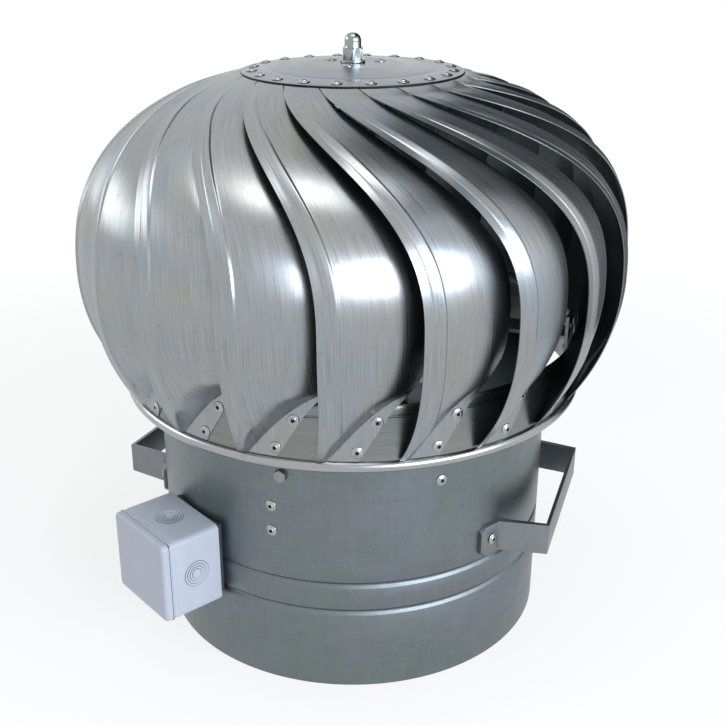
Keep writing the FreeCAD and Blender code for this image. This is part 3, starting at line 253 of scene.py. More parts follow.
class Shader:
    """A small helper that adds nodes and links by name."""

    def __init__(self, name):
        self.material = bpy.data.materials.new(name)
        self.material.use_nodes = True
        self.tree = self.material.node_tree
        self.tree.nodes.clear()
        self.out = self.add("ShaderNodeOutputMaterial")
        self.bsdf = self.add("ShaderNodeBsdfPrincipled")
        self.link(self.bsdf, "BSDF", self.out, "Surface")

    def add(self, kind, **values):
        node = self.tree.nodes.new(kind)
        for key, value in values.items():
            if key in node.inputs:
                node.inputs[key].default_value = value
            else:
                setattr(node, key, value)
        return node

    def link(self, source, socket, target, name):
        self.tree.links.new(source.outputs[socket], target.inputs[name])

    def coordinates(self, from_uv, scale=(1, 1, 1)):
        if from_uv:
            start = self.add("ShaderNodeUVMap", uv_map="sheet")
            socket = "UV"
        else:
            start = self.add("ShaderNodeTexCoord")
            socket = "Object"
        mapping = self.add("ShaderNodeMapping")
        mapping.inputs["Scale"].default_value = scale
        self.link(start, socket, mapping, "Vector")
        return mapping

    def noise(self, where, scale, detail=4.0, rough=0.5, distortion=0.0):
        node = self.add("ShaderNodeTexNoise", Scale=scale, Detail=detail, Roughness=rough,
                        Distortion=distortion)
        self.link(where, "Vector", node, "Vector")
        return node

    def ramp(self, source, socket, stops):
        node = self.add("ShaderNodeValToRGB")
        ramp = node.color_ramp
        while len(ramp.elements) < len(stops):
            ramp.elements.new(0.5)
        for element, (at, value) in zip(ramp.elements, stops):
            element.position = at
            element.color = value if len(value) == 4 else tuple(value) + (1.0,)
        self.link(source, socket, node, "Fac")
        return node

    def spread(self, source, socket, low, high, first=0.3, last=0.7):
        node = self.add("ShaderNodeMapRange")
        node.inputs["From Min"].default_value = first
        node.inputs["From Max"].default_value = last
        node.inputs["To Min"].default_value = low
        node.inputs["To Max"].default_value = high
        self.link(source, socket, node, "Value")
        return node

    def mix(self, kind, factor, first, second):
        node = self.add("ShaderNodeMix", data_type="RGBA", blend_type=kind)
        if isinstance(factor, float):
            node.inputs[0].default_value = factor
        else:
            self.tree.links.new(factor, node.inputs[0])
        for index, item in ((6, first), (7, second)):
            if isinstance(item, tuple):
                node.inputs[index].default_value = item + (1.0,)
            else:
                self.tree.links.new(item, node.inputs[index])
        return node

    def bump(self, source, socket, strength, distance, under=None):
        node = self.add("ShaderNodeBump", Strength=strength, Distance=distance)
        self.link(source, socket, node, "Height")
        if under:
            self.link(under, "Normal", node, "Normal")
        return node


def brushed(name, base, rough, from_uv=True, along="v", grain=1.0, anisotropy=0.0, tint=0.06,
            streak=0.10):
    """Sheet steel with the fine lines that rolling and brushing leave, blotches and handling marks."""
    shader = Shader(name)
    bsdf = shader.bsdf
    bsdf.inputs["Metallic"].default_value = 1.0
    fine = (1300.0, 24.0, 1.0) if along == "v" else (24.0, 1300.0, 1.0)
    long = (700.0, 7.0, 1.0) if along == "v" else (7.0, 700.0, 1.0)
    if not from_uv:
        fine = (1500.0, 1500.0, 30.0) if along == "v" else (30.0, 30.0, 1500.0)
        long = (380.0, 380.0, 6.0) if along == "v" else (6.0, 6.0, 380.0)
    lines = shader.noise(shader.coordinates(from_uv, fine), 1.0, 2.0, 0.55)
    bands = shader.noise(shader.coordinates(from_uv, long), 1.0, 3.0, 0.6)
    place = shader.coordinates(False)
    clouds = shader.noise(place, 14.0, 3.0, 0.55, 0.3)
    spots = shader.noise(place, 160.0, 4.0, 0.65)
    cool = tuple(value * factor for value, factor in zip(base, (1 - tint, 1.0, 1 + tint)))
    warm = tuple(value * factor for value, factor in zip(base, (1 + tint * 0.6, 1.0, 1 - tint)))
    shade = shader.ramp(clouds, "Fac", [(0.36, warm), (0.5, base), (0.64, cool)])
    dark = shader.ramp(bands, "Fac", [(0.3, (1 - streak,) * 3), (0.7, (1.0,) * 3)])
    colour = shader.mix("MULTIPLY", 1.0, shade.outputs["Color"], dark.outputs["Color"])
    hairs = shader.ramp(lines, "Fac", [(0.34, (1 - 0.20 * grain,) * 3), (0.66, (1.0,) * 3)])
    lined = shader.mix("MULTIPLY", 1.0, colour.outputs[2], hairs.outputs["Color"])
    specks = shader.ramp(spots, "Fac", [(0.30, (0.80, 0.80, 0.79)), (0.40, (1.0, 1.0, 1.0))])
    marked = shader.mix("MULTIPLY", 0.7, lined.outputs[2], specks.outputs["Color"])
    shader.tree.links.new(marked.outputs[2], bsdf.inputs["Base Color"])
    smooth = shader.spread(bands, "Fac", rough - 0.05, rough + 0.06)
    worn = shader.spread(clouds, "Fac", -0.01, 0.02)
    total = shader.add("ShaderNodeMath", operation="ADD")
    shader.tree.links.new(smooth.outputs[0], total.inputs[0])
    shader.tree.links.new(worn.outputs[0], total.inputs[1])
    shader.link(total, "Value", bsdf, "Roughness")
    dents = shader.noise(place, 9.0, 2.0, 0.5)
    wavy = shader.bump(dents, "Fac", 0.12, 0.003)
    ridges = shader.bump(lines, "Fac", 0.16 * grain, 0.0004, wavy)
    shader.link(ridges, "Normal", bsdf, "Normal")
    if anisotropy:
        bsdf.inputs["Anisotropic"].default_value = anisotropy
        tangent = shader.add("ShaderNodeTangent", direction_type="UV_MAP", uv_map="sheet")
        shader.link(tangent, "Tangent", bsdf, "Tangent")
    return shader.material


def galvanised(name, base, rough, spangle=0.035):
    """Dull zinc sheet: faint crystals, fine lines both ways, cool and greenish clouds, scuffs."""
    shader = Shader(name)
    bsdf = shader.bsdf
    bsdf.inputs["Metallic"].default_value = 1.0
    place = shader.coordinates(False)
    crystals = shader.add("ShaderNodeTexVoronoi", Scale=120.0, feature="F1")
    shader.link(place, "Vector", crystals, "Vector")
    grey = shader.add("ShaderNodeSeparateColor")
    shader.link(crystals, "Color", grey, "Color")
    upright = shader.noise(shader.coordinates(False, (520.0, 520.0, 16.0)), 1.0, 3.0, 0.6)
    level = shader.noise(shader.coordinates(False, (14.0, 14.0, 620.0)), 1.0, 3.0, 0.6)
    grain = shader.noise(place, 1100.0, 2.0, 0.6)
    clouds = shader.noise(place, 9.0, 4.0, 0.6, 0.4)
    light = tuple(value * (1 + spangle) for value in base)
    deep = tuple(value * (1 - spangle) for value in base)
    flakes = shader.ramp(grey, "Red", [(0.0, deep), (1.0, light)])
    tone = shader.ramp(clouds, "Fac", [(0.36, (0.90, 0.98, 0.93)), (0.64, (0.99, 1.0, 1.09))])
    colour = shader.mix("MULTIPLY", 1.0, flakes.outputs["Color"], tone.outputs["Color"])
    for lines, dark in ((upright, 0.95), (level, 0.95), (grain, 0.88)):
        shade = shader.ramp(lines, "Fac", [(0.34, (dark, dark, dark)), (0.62, (1.0, 1.0, 1.0))])
        colour = shader.mix("MULTIPLY", 1.0, colour.outputs[2], shade.outputs["Color"])
    shader.tree.links.new(colour.outputs[2], bsdf.inputs["Base Color"])
    gloss = shader.spread(clouds, "Fac", rough - 0.05, rough + 0.07)
    shader.link(gloss, "Result", bsdf, "Roughness")
    waves = shader.noise(place, 7.0, 2.0, 0.5)
    wavy = shader.bump(waves, "Fac", 0.3, 0.005)
    scratched = shader.bump(level, "Fac", 0.04, 0.0005, wavy)
    pits = shader.bump(grain, "Fac", 0.10, 0.0004, scratched)
    shader.link(pits, "Normal", bsdf, "Normal")
    return shader.material


def cast_metal(name, base, rough, metallic=1.0, grain=0.3):
    shader = Shader(name)
    bsdf = shader.bsdf
    bsdf.inputs["Metallic"].default_value = metallic
    place = shader.coordinates(False)
    skin = shader.noise(place, 700.0, 4.0, 0.6)
    stains = shader.noise(place, 40.0, 3.0, 0.6)
    tone = shader.ramp(stains, "Fac", [(0.35, tuple(v * 0.82 for v in base)), (0.65, base)])
    shader.link(tone, "Color", bsdf, "Base Color")
    dull = shader.spread(stains, "Fac", rough - 0.06, rough + 0.08)
    shader.link(dull, "Result", bsdf, "Roughness")
    pits = shader.bump(skin, "Fac", grain, 0.0005)
    shader.link(pits, "Normal", bsdf, "Normal")
    return shader.material


def plastic(name, base, rough, grain=0.12, grime=0.10):
    shader = Shader(name)
    bsdf = shader.bsdf
    bsdf.inputs["Metallic"].default_value = 0.0
    bsdf.inputs["IOR"].default_value = 1.49
    place = shader.coordinates(False)
    skin = shader.noise(place, 1400.0, 2.0, 0.5)
    dirt = shader.noise(place, 26.0, 5.0, 0.65, 0.3)
    tone = shader.ramp(dirt, "Fac", [(0.34, tuple(v * (1 - grime) for v in base)), (0.6, base)])
    shader.link(tone, "Color", bsdf, "Base Color")
    worn = shader.spread(dirt, "Fac", rough - 0.06, rough + 0.06)
    shader.link(worn, "Result", bsdf, "Roughness")
    texture = shader.bump(skin, "Fac", grain, 0.0003)
    shader.link(texture, "Normal", bsdf, "Normal")
    return shader.material


blade_steel = brushed("blade_steel", (0.36, 0.38, 0.395), 0.30, True, "v", 1.0, 0.6, 0.06, 0.05)
# Painted shade: a darker copy of the blade sheet for the blades' inner faces, standing in for the
# shade inside the head.
blade_underside_shade = galvanised("blade_underside_shade", (0.13, 0.14, 0.14), 0.45)
ring_steel = brushed("ring_steel", (0.25, 0.26, 0.255), 0.30, True, "u", 0.8, 0.0, 0.04)
rim_shade = galvanised("rim_shade", (0.03, 0.032, 0.034), 0.5)
# Painted highlight: the rolled bead is the same ring sheet, given a lighter base so that it looks lit.
bead_painted_sheen = brushed("bead_painted_sheen", (0.40, 0.41, 0.42), 0.24, True, "u", 0.5, 0.0, 0.03, 0.05)
disc_steel = brushed("disc_steel", (0.235, 0.265, 0.30), 0.28, False, "h", 0.35, 0.0, 0.06, 0.06)
collar_steel = galvanised("collar_steel", (0.20, 0.222, 0.228), 0.40)
strap_steel = galvanised("strap_steel", (0.24, 0.25, 0.25), 0.42)
bracket_steel = galvanised("bracket_steel", (0.42, 0.43, 0.44), 0.36)
rivet_steel = brushed("rivet_steel", (0.42, 0.42, 0.43), 0.26, False, "v", 0.3, 0.0, 0.02, 0.05)
# Painted shade: near-black colour for the inside of each rivet's mandrel hole, where shade falls.
mandrel_hole_shade = cast_metal("mandrel_hole_shade", (0.012, 0.012, 0.013), 0.7, 0.0, 0.2)
zinc_steel = cast_metal("zinc_steel", (0.30, 0.32, 0.33), 0.34, 1.0, 0.15)
bright_nut = cast_metal("bright_nut", (0.34, 0.38, 0.40), 0.17, 1.0, 0.04)
cast_alloy = cast_metal("cast_alloy", (0.36, 0.37, 0.38), 0.46, 1.0, 0.35)
motor_iron = cast_metal("motor_iron", (0.07, 0.072, 0.075), 0.55, 0.6, 0.25)
ground_steel = cast_metal("ground_steel", (0.50, 0.50, 0.51), 0.20, 1.0, 0.05)
box_grey = plastic("box_grey", (0.46, 0.49, 0.56), 0.42, 0.10, 0.06)
# Painted shade: a dark colour for the outer flanks of the knockout rings, standing in for the shade
# lines of their steps.
box_shade_line = plastic("box_shade_line", (0.10, 0.105, 0.13), 0.55, 0.10, 0.10)
black_rubber = plastic("black_rubber", (0.022, 0.022, 0.024), 0.62, 0.20)
foam = plastic("foam", (0.045, 0.05, 0.06), 0.85, 0.6, 0.25)
terminal_white = plastic("terminal_white", (0.66, 0.64, 0.56), 0.45)
SLOT_MATERIALS = {
    "blade_sheet": blade_steel, "ring_sheet": ring_steel, "disc_sheet": disc_steel,
    "collar_sheet": collar_steel, "handle_strap": strap_steel, "rivet_steel": rivet_steel,
    "zinc_fastener": zinc_steel, "polished_nut": bright_nut, "box_plastic": box_grey,
    "black_rubber": black_rubber, "foam": foam, "terminal_plastic": terminal_white,
    "cast_aluminium": cast_alloy, "motor_iron": motor_iron, "bracket_sheet": bracket_steel,
    "bearing_steel": ground_steel}


# Blades

def smooth(share):
    share = max(0.0, min(1.0, share))
    return share * share * (3 - 2 * share)


def rim_angle():
    ratio = (DISC_RADIUS + RIM_GAP) / HEAD_RADIUS
    return math.degrees(math.acos(ratio ** (CROWN_POWER / 2)))


def left_edge(kind, value):
    if kind == "belly":
        drop = (HEAD_MID - value) / BELLY_HIGH
        at = HEAD_RADIUS * math.sqrt(1 - drop * drop)
        low = HEAD_RADIUS * math.sqrt(1 - ((HEAD_MID - BLADE_LOW) / BELLY_HIGH) ** 2)
        return at, value, -TIP_LAG * ((HEAD_RADIUS - at) / (HEAD_RADIUS - low)) ** 2
    if kind == "crown":
        power = 2 / CROWN_POWER
        at = HEAD_RADIUS * math.cos(math.radians(value)) ** power
        high = HEAD_MID + CROWN_HIGH * math.sin(math.radians(value)) ** power
    else:
        at = DISC_RADIUS + RIM_GAP - value * TAB_OVERLAP
        slope = DISC_RISE / (DISC_RADIUS - DISC_FLAT_RADIUS)
        high = DISC_EDGE_HIGH - DISC_WALL - SEAT_GAP + slope * (DISC_RADIUS - at)
    share = (HEAD_RADIUS - at) / (HEAD_RADIUS - DISC_RADIUS)
    return at, high, -BLADE_SWEEP * share ** SWEEP_POWER


def crown_normal(angle):
    across = math.cos(math.radians(angle)) ** (2 * (CROWN_POWER - 1) / CROWN_POWER) / HEAD_RADIUS
    up = math.sin(math.radians(angle)) ** (2 * (CROWN_POWER - 1) / CROWN_POWER) / CROWN_HIGH
    length = math.hypot(across, up)
    return across / length, up / length


def crease_place(high):
    return min(1.0, FOOT_CREASE + (1 - FOOT_CREASE) * (high - BLADE_LOW) / CREASE_RISE)


def sunk(across, strip, fold, crease, depth):
    def curve(share):
        part = share / fold
        return depth[0] * (SOFT_SHARE * part + (1 - SOFT_SHARE) * part * part)
    if across <= strip:
        return 0.6 * curve(strip) * across / strip
    if across <= fold:
        return curve(across) - 0.4 * curve(strip) * (fold - across) / (fold - strip)
    if across < crease:
        return depth[0] + (depth[1] - depth[0]) * (across - fold) / (crease - fold)
    return depth[1]


def stiffener(reach):
    """Height of the pressed rib beside the edge: a short rise, a sloping face, a sharp drop."""
    rise = 0.45 * smooth((reach - 6.4) / 2.0)
    slope = 0.75 * max(0.0, min(1.0, (reach - 8.4) / 7.0))
    drop = smooth((reach - 15.4) / 2.2)
    return (rise + slope) * (1 - drop)


RIB_PLACES = (0.0, 1.0, 3.0, 5.0, 6.3, 6.8, 7.2, 7.6, 8.1, 8.6, 9.6, 11.0, 12.5, 14.0, 15.2, 15.7,
              16.1, 16.5, 16.9, 17.3, 17.8, 19.0)
RISER_PARTS = (0.0, 0.15, 0.3, 0.45, 0.6, 0.75, 0.88, 0.97, 1.0)


def blade_row(kind, value):
    """Points across one blade: outer face points, distance from the edge, and the normal."""
    at, high, lead = left_edge(kind, value)
    seat = RING_RADIUS + SEAT_GAP + BLADE_WALL
    if kind == "belly":
        rise = smooth((value - RING_TOP) / (HEAD_MID - RING_TOP))
        early = smooth((value - RING_TOP + LEAVE_BELOW) / LEAVE_HIGH)
        slope = (ROW_TOP_LEAD - ROW_LOW_LEAD) / (ROW_TOP_HIGH - ROW_LOW_HIGH)
        cut = ROW_LOW_LEAD + CUT_MARGIN + slope * (value - ROW_LOW_HIGH)
        right = cut * (1 - early) + BLADE_ANGLE * early
        crease = crease_place(value)
        fold = (RING_FOLD + (FREE_FOLD - RING_FOLD) * rise) * crease
        inner = seat * (1 - rise) + (HEAD_RADIUS - BLADE_TUCK) * rise
        width = right - lead
        depth = (BLADE_BEND / BLADE_TUCK * (at - inner), at - inner)
        normal = (1.0, 0.0)
    else:
        rim = DISC_RADIUS + RIM_GAP
        share = 1.0 if kind == "tab" else (HEAD_RADIUS - at) / (HEAD_RADIUS - rim)
        width = BLADE_ANGLE + (BLADE_TOP_ANGLE - BLADE_ANGLE) * share ** NARROW_POWER
        taper = (1 - share) ** TUCK_POWER
        crease, fold = 1.0, FREE_FOLD
        depth = (BLADE_BEND * taper, BLADE_TUCK * taper)
        normal = (0.0, 1.0) if kind == "tab" else crown_normal(value)
    span = math.radians(max(width, 1.0)) * at
    strip = min(STRIP_WIDTH / span, 0.45 * crease)
    room = span * crease / RIB_ROOM if kind == "belly" else span * fold / RIB_ROOM_ABOVE
    shrink = min(1.0, room)
    ribs = smooth((value - BLADE_LOW - RIB_START) / RIB_FADE) if kind == "belly" else 1.0
    if kind == "crown":
        ribs = 1.0 - smooth((value / rim_angle() - 0.80) / 0.2)
    if kind == "tab":
        ribs = 0.0
    shares = [place * shrink / span for place in RIB_PLACES]
    first = shares[-1]
    seam = min(crease, LAST_SEAM)
    shares += [first + (fold - first) * step / 14.0 for step in range(1, 14)]
    shares += [fold + (seam - fold) * part for part in RISER_PARTS]
    shares += [seam + (1.0 - seam) * part for part in (0.03, 0.10, 0.3, 0.5, 0.75, 1.0)]
    row = []
    for share in shares:
        depth_here = sunk(share, strip, fold, crease, depth)
        depth_here -= ribs * shrink * stiffener(share * span / shrink)
        turn = math.radians(lead + width * share)
        reach = at - depth_here * normal[0]
        row.append(Vector((reach * math.sin(turn), -reach * math.cos(turn),
                           high - depth_here * normal[1])))
    if kind == "tab":
        row = [row[0].lerp(row[-1], share) for share in shares]
    return row, shares, span, normal


def softened(rows, first, last, passes):
    """Rounds the bend between the outer face and the riser, and leaves the crease sharp."""
    for _ in range(passes):
        for row in rows:
            before = [point.copy() for point in row]
            for number in range(first, last):
                row[number] = (before[number - 1] + before[number] * 2 + before[number + 1]) / 4


def blade_mesh():
    stations = [("belly", BLADE_LOW + (RING_TOP - BLADE_LOW) * k / 20.0) for k in range(21)]
    stations += [("belly", RING_TOP + (HEAD_MID - RING_TOP) * k / 18.0) for k in range(1, 19)]
    stations += [("crown", rim_angle() * k / 40.0) for k in range(1, 40)]
    stations += [("tab", k / 5.0) for k in range(6)]
    rows, uvs, normals, length = [], [], [], 0.0
    for kind, value in stations:
        row, shares, span, normal = blade_row(kind, value)
        if rows:
            length += (row[8] - rows[-1][8]).length
        rows.append(row)
        normals.append(normal)
        uvs.append([(share * span * MM, length * MM) for share in shares])
    softened(rows, len(RIB_PLACES), len(RIB_PLACES) + 12 + len(RISER_PARTS), 4)
    count = len(rows[0])
    outer = [point for row in rows for point in row]
    inner = []
    for row, normal in zip(rows, normals):
        for point in row:
            reach = math.hypot(point.x, point.y)
            share = (reach - BLADE_WALL * normal[0]) / reach
            inner.append(Vector((point.x * share, point.y * share,
                                 point.z - BLADE_WALL * normal[1])))
    size = len(outer)
    faces = []
    for row in range(len(rows) - 1):
        for column in range(count - 1):
            a = row * count + column
            faces.append((a, a + 1, a + count + 1, a + count))
            faces.append((a + size, a + count + size, a + count + 1 + size, a + 1 + size))
        for a, turned in ((row * count, False), (row * count + count - 1, True)):
            side = (a, a + count, a + count + size, a + size)
            faces.append(side[::-1] if turned else side)
    for base, turned in ((0, False), ((len(rows) - 1) * count, True)):
        for column in range(count - 1):
            a = base + column
            side = (a, a + size, a + 1 + size, a + 1)
            faces.append(side[::-1] if turned else side)
    flat = [pair for row in uvs for pair in row]
    return outer + inner, faces, flat + flat


def blades():
    points, faces, uvs = blade_mesh()
    first = mesh_object("blade_sheet_piece", points, faces, uvs, 40.0)
    first.data.materials.append(blade_steel)
    first.data.materials.append(blade_underside_shade)
    # The inner faces of each blade take the darker painted shade material.
    for face in first.data.polygons:
        if min(face.vertices) >= len(points) // 2:
            face.material_index = 1
    for number in range(BLADE_COUNT):
        node = "blade_%02d" % (number + 1)
        piece = bpy.data.objects.new("sheet_" + node, first.data.copy())
        bpy.context.scene.collection.objects.link(piece)
        turn = math.radians(BLADE_TURN + 360.0 * number / BLADE_COUNT)
        piece.data.transform(Matrix.Rotation(turn, 4, "Z"))
        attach(piece, "head")
        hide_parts(node)
    bpy.data.objects.remove(first)


# Turned sheet pieces

def groove_points(middle, radius):
    """A swaged groove with soft shoulders, as (radius, height) from below to above."""
    half = GROOVE_WIDTH / 2
    found = []
    for step in range(13):
        share = -1 + 2 * step / 12.0
        depth = GROOVE_DEEP * math.cos(math.pi * share / 2) ** 1.5 if abs(share) < 1 else 0.0
        found.append((radius - depth, middle + half * 1.15 * share))
    return found


def collar():
    outer = [(COLLAR_RADIUS - 0.35, 0.0), (COLLAR_RADIUS, 0.35)]
    outer += [(COLLAR_RADIUS, 20.0), (COLLAR_RADIUS, 45.0)]
    for middle in GROOVES:
        outer += groove_points(middle, COLLAR_RADIUS)
    outer += [(COLLAR_RADIUS, high) for high in (120.0, 150.0, 180.0, 210.0)]
    outer += [(COLLAR_RADIUS, COLLAR_HIGH - 0.3), (COLLAR_RADIUS - 0.3, COLLAR_HIGH)]
    inner = [(radius - 1.0, high) for radius, high in outer[1:-1]][::-1]
    inner = [(COLLAR_RADIUS - 0.9, COLLAR_HIGH)] + inner + [(COLLAR_RADIUS - 0.9, 0.0)]
    piece = lathe("collar_sheet_piece", outer + inner, 288)
    stands_for(piece, "collar_assembly", "collar_sheet", [collar_steel], "base_collar")


def lower_ring():
    centre = (RING_RADIUS, RING_LOW + BEAD_RADIUS)
    outer = [(RING_RADIUS - 0.9, RING_LOW)] + arc(centre, BEAD_RADIUS, -88, 88, 14)
    outer += [(RING_RADIUS, 231.0), (RING_RADIUS, 245.0), (RING_RADIUS, 262.0)]
    outer += [(RING_RADIUS, 265.6), (RING_RADIUS - 0.75, 266.3), (RING_RADIUS - 0.8, 266.9),
              (RING_RADIUS - 0.15, 267.9), (RING_RADIUS, 269.2), (RING_RADIUS - 0.05, 271.0),
              (RING_RADIUS - 0.3, 272.8), (RING_RADIUS - 0.8, 274.4),
              (RING_RADIUS - 1.4, 275.5), (RING_RADIUS - 1.9, RING_TOP)]
    inner = [(RING_RADIUS - 2.0, 275.7), (RING_RADIUS - 2.0, 267.2), (RING_RADIUS - 1.9, 267.0),
             (RING_RADIUS - 1.0, 267.0), (RING_RADIUS - 1.0, 230.0), (RING_RADIUS - 1.0, 222.0)]
    piece = lathe("ring_sheet_piece", outer + inner, 320)
    stands_for(piece, "head", "ring_sheet", [ring_steel, bead_painted_sheen], "lower_ring")
    # The faces of the bead take the lighter painted highlight material.
    for face in piece.data.polygons:
        middle = face.center / MM
        if middle.z < RING_LOW + 2 * BEAD_RADIUS and math.hypot(middle.x, middle.y) > RING_RADIUS:
            face.material_index = 1


def top_disc():
    slope = DISC_RISE / (DISC_RADIUS - DISC_FLAT_RADIUS)

    def level(radius):
        return DISC_EDGE_HIGH + DISC_RISE - slope * max(0.0, radius - DISC_FLAT_RADIUS)

    top = []
    for radius in (5.1, 14.0, 22.0, 30.0, 34.0, 38.0, 46.0, 56.0, 66.0, 69.2):
        top.append((radius, level(radius)))
    top += [(70.2, level(70.2) - 0.18), (71.0, level(71.0) - 0.30), (71.8, level(71.8) - 0.18),
            (72.8, level(72.8)), (80.0, level(80.0)), (88.0, level(88.0)), (92.9, level(92.9))]
    top += [(DISC_RADIUS - 0.25, DISC_EDGE_HIGH - 0.08), (DISC_RADIUS, DISC_EDGE_HIGH - 0.35)]
    under = [(radius, high - DISC_WALL + (0.0 if radius < 69 or radius > 73 else 0.1))
             for radius, high in top[:-2]][::-1]
    edge = [(DISC_RADIUS, DISC_EDGE_HIGH - DISC_WALL + 0.1)]
    piece = lathe("disc_sheet_piece", top + edge + under, 256)
    stands_for(piece, "head", "disc_sheet", [disc_steel, rim_shade], "top_disc")
    for face in piece.data.polygons:
        middle = face.center / MM
        if math.hypot(middle.x, middle.y) > DISC_RADIUS - 0.3:
            face.material_index = 1


# Rivets

def rivet_parts(grip, head=4.75, rise=1.6, steps=28):
    """A blind rivet standing on its seat: domed head with the open mandrel hole, and closed end."""
    hole = [(0.0, rise - 1.35), (1.25, rise - 1.35), (1.35, rise - 0.25)]
    head = [(1.60, rise), (2.3, rise), (2.75, rise * 0.72), (3.2, rise * 0.60), (4.0, rise * 0.52),
            (4.55, rise * 0.36), (head, rise * 0.2), (head - 0.1, 0.15), (4.2, 0.0)]
    tail = [(2.4, 0.0), (2.4, -grip), (3.2, -grip), (3.4, -grip - 0.5), (3.4, -grip - 2.4),
            (2.9, -grip - 3.0), (0.0, -grip - 3.0)]
    points, faces, _ = lathe_parts(hole + head + tail, steps, False)
    rows = len(hole + head + tail) - 1
    # The first three rows, inside the mandrel hole, take the painted shade material.
    return points, faces, [1 if number % rows < 3 else 0 for number in range(len(faces))]


def stand(place, direction):
    turn = direction.to_track_quat("Z", "Y").to_matrix().to_4x4()
    return Matrix.Translation(place) @ turn


def rivets(name, body, nodes, spots, slot="rivet_steel"):
    parts = []
    for number, (place, direction, grip) in enumerate(spots):
        points, faces, slots = rivet_parts(grip)
        spin = Matrix.Rotation(number * 1.7, 4, "Z")
        parts.append((points, faces, stand(place, direction) @ spin, slots))
    piece = joined(name, parts, 50.0)
    weld(piece)
    stands_for(piece, body, slot, [rivet_steel, mandrel_hole_shade], *nodes)
    return piece


def head_rivets():
    spots = []
    seat = RING_RADIUS + SEAT_GAP * 2 + BLADE_WALL
    for number in range(BLADE_COUNT):
        for lead, high in ((ROW_LOW_LEAD, ROW_LOW_HIGH), (ROW_TOP_LEAD, ROW_TOP_HIGH)):
            side = outward(BLADE_TURN + lead + 360.0 * number / BLADE_COUNT)
            place = side * seat
            place.z = high
            spots.append((place, side, 1.95))
    rivets("ring_rivet_pieces", "head", ("ring_rivets",), spots)
    slope = DISC_RISE / (DISC_RADIUS - DISC_FLAT_RADIUS)
    spots = []
    for number in range(BLADE_COUNT):
        side = outward(BLADE_TURN + DISC_RIVET_LEAD + 360.0 * number / BLADE_COUNT)
        place = side * DISC_RIVET_RADIUS
        place.z = DISC_EDGE_HIGH + slope * (DISC_RADIUS - DISC_RIVET_RADIUS) + 0.05
        spots.append((place, (side * slope + Vector((0, 0, 1))).normalized(), 3.6))
    rivets("disc_rivet_pieces", "head", ("disc_rivets",), spots)


def collar_rivets():
    spots = []
    for turn in HANDLE_TURNS:
        for lead in (-HANDLE_RIVET, HANDLE_RIVET):
            side = outward(turn + lead)
            place = side * (COLLAR_RADIUS + HANDLE_WALL + FOOT_LIFT)
            place.z = HANDLE_MIDDLE
            spots.append((place, side, HANDLE_WALL + FOOT_LIFT + 1.2))
    rivets("handle_rivet_pieces", "collar_assembly", ("handle_rivets",), spots)
    spots = []
    for turn, heights in TRAVERSE_RIVETS:
        for opposite in (0.0, 180.0):
            for high in heights:
                side = outward(turn + opposite)
                place = side * (COLLAR_RADIUS + SEAT_GAP)
                place.z = high
                spots.append((place, side, 5.4))
    rivets("traverse_rivet_pieces", "collar_assembly", ("traverse_rivets",), spots)


# Cap nut

def cap_nut():
    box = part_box("cap_nut")
    low = box[0][2] / MM
    top = box[1][2] / MM
    flats = 6
    nut_high = 9.8
    corner = 9.6
    points, faces = [], []
    rings = ((corner * 0.90, 0.0), (corner, 0.9), (corner, nut_high - 1.3),
             (corner * 0.88, nut_high), (7.4, nut_high + 0.1))
    steps = 48
    for radius, high in rings:
        for step in range(steps):
            angle = 2 * math.pi * step / steps
            within = (angle + math.pi / flats) % (2 * math.pi / flats) - math.pi / flats
            flat = corner * math.cos(math.pi / flats) / math.cos(within)
            reach = min(radius, flat) if radius > 7.5 else radius
            points.append((reach * math.cos(angle), reach * math.sin(angle), low + high))
    for ring in range(len(rings) - 1):
        for step in range(steps):
            a = ring * steps + step
            b = ring * steps + (step + 1) % steps
            faces.append((a, b, b + steps, a + steps))
    faces.append(tuple(range(steps))[::-1])
    start = len(points)
    dome = [(7.4, nut_high + 0.1), (7.0, nut_high + 1.2)]
    rise = top - low - nut_high
    dome += [(7.0, nut_high + rise * 0.45)]
    for step in range(1, 13):
        angle = math.pi / 2 * step / 12.0
        dome.append((7.0 * math.cos(angle) ** 0.85, nut_high + rise * 0.45
                     + rise * 0.55 * math.sin(angle)))
    turned, turned_faces, _ = lathe_parts([(r, low + z) for r, z in dome], steps, False)
    points += turned
    faces += [tuple(start + number for number in face) for face in turned_faces]
    piece = mesh_object("cap_nut_piece", points, faces, None, 28.0)
    weld(piece)
    piece.data.set_sharp_from_angle(angle=math.radians(28))
    stands_for(piece, "head", "polished_nut", [bright_nut], "cap_nut")


# Junction box

def rounded_frame(half_wide, half_high, corner, steps=8):
    """Points of a rectangle with round corners, counted the same for every size."""
    found = []
    corner = max(0.05, min(corner, half_wide, half_high))
    for quarter, (sx, sy) in enumerate(((1, 1), (-1, 1), (-1, -1), (1, -1))):
        cx, cy = sx * (half_wide - corner), sy * (half_high - corner)
        for step in range(steps + 1):
            angle = math.pi / 2 * (quarter + step / steps)
            found.append((cx + corner * math.cos(angle), cy + corner * math.sin(angle)))
    return found


def box_shell(name, profile, corner, cap_first, cap_last):
    """A moulded shell: frames of (inset, distance from the axis) joined one to the next."""
    turn = math.radians(BOX_TURN)
    out = Vector((math.sin(turn), -math.cos(turn), 0))
    along = Vector((math.cos(turn), math.sin(turn), 0))
    middle = BOX_LOW + BOX_HIGH / 2
    points, faces = [], []
    for inset, reach in profile:
        for x, z in rounded_frame(BOX_WIDTH / 2 - inset, BOX_HIGH / 2 - inset, corner - inset):
            place = out * reach + along * x
            place.z = middle + z
            points.append(place)
    count = len(points) // len(profile)
    for ring in range(len(profile) - 1):
        for step in range(count):
            a = ring * count + step
            b = ring * count + (step + 1) % count
            faces.append((a, b, b + count, a + count))
    if cap_first:
        faces.append(tuple(range(count)))
    if cap_last:
        faces.append(tuple(range((len(profile) - 1) * count, len(profile) * count))[::-1])
    piece = mesh_object(name, points, faces, None, 40.0)
    weld(piece)
    return piece


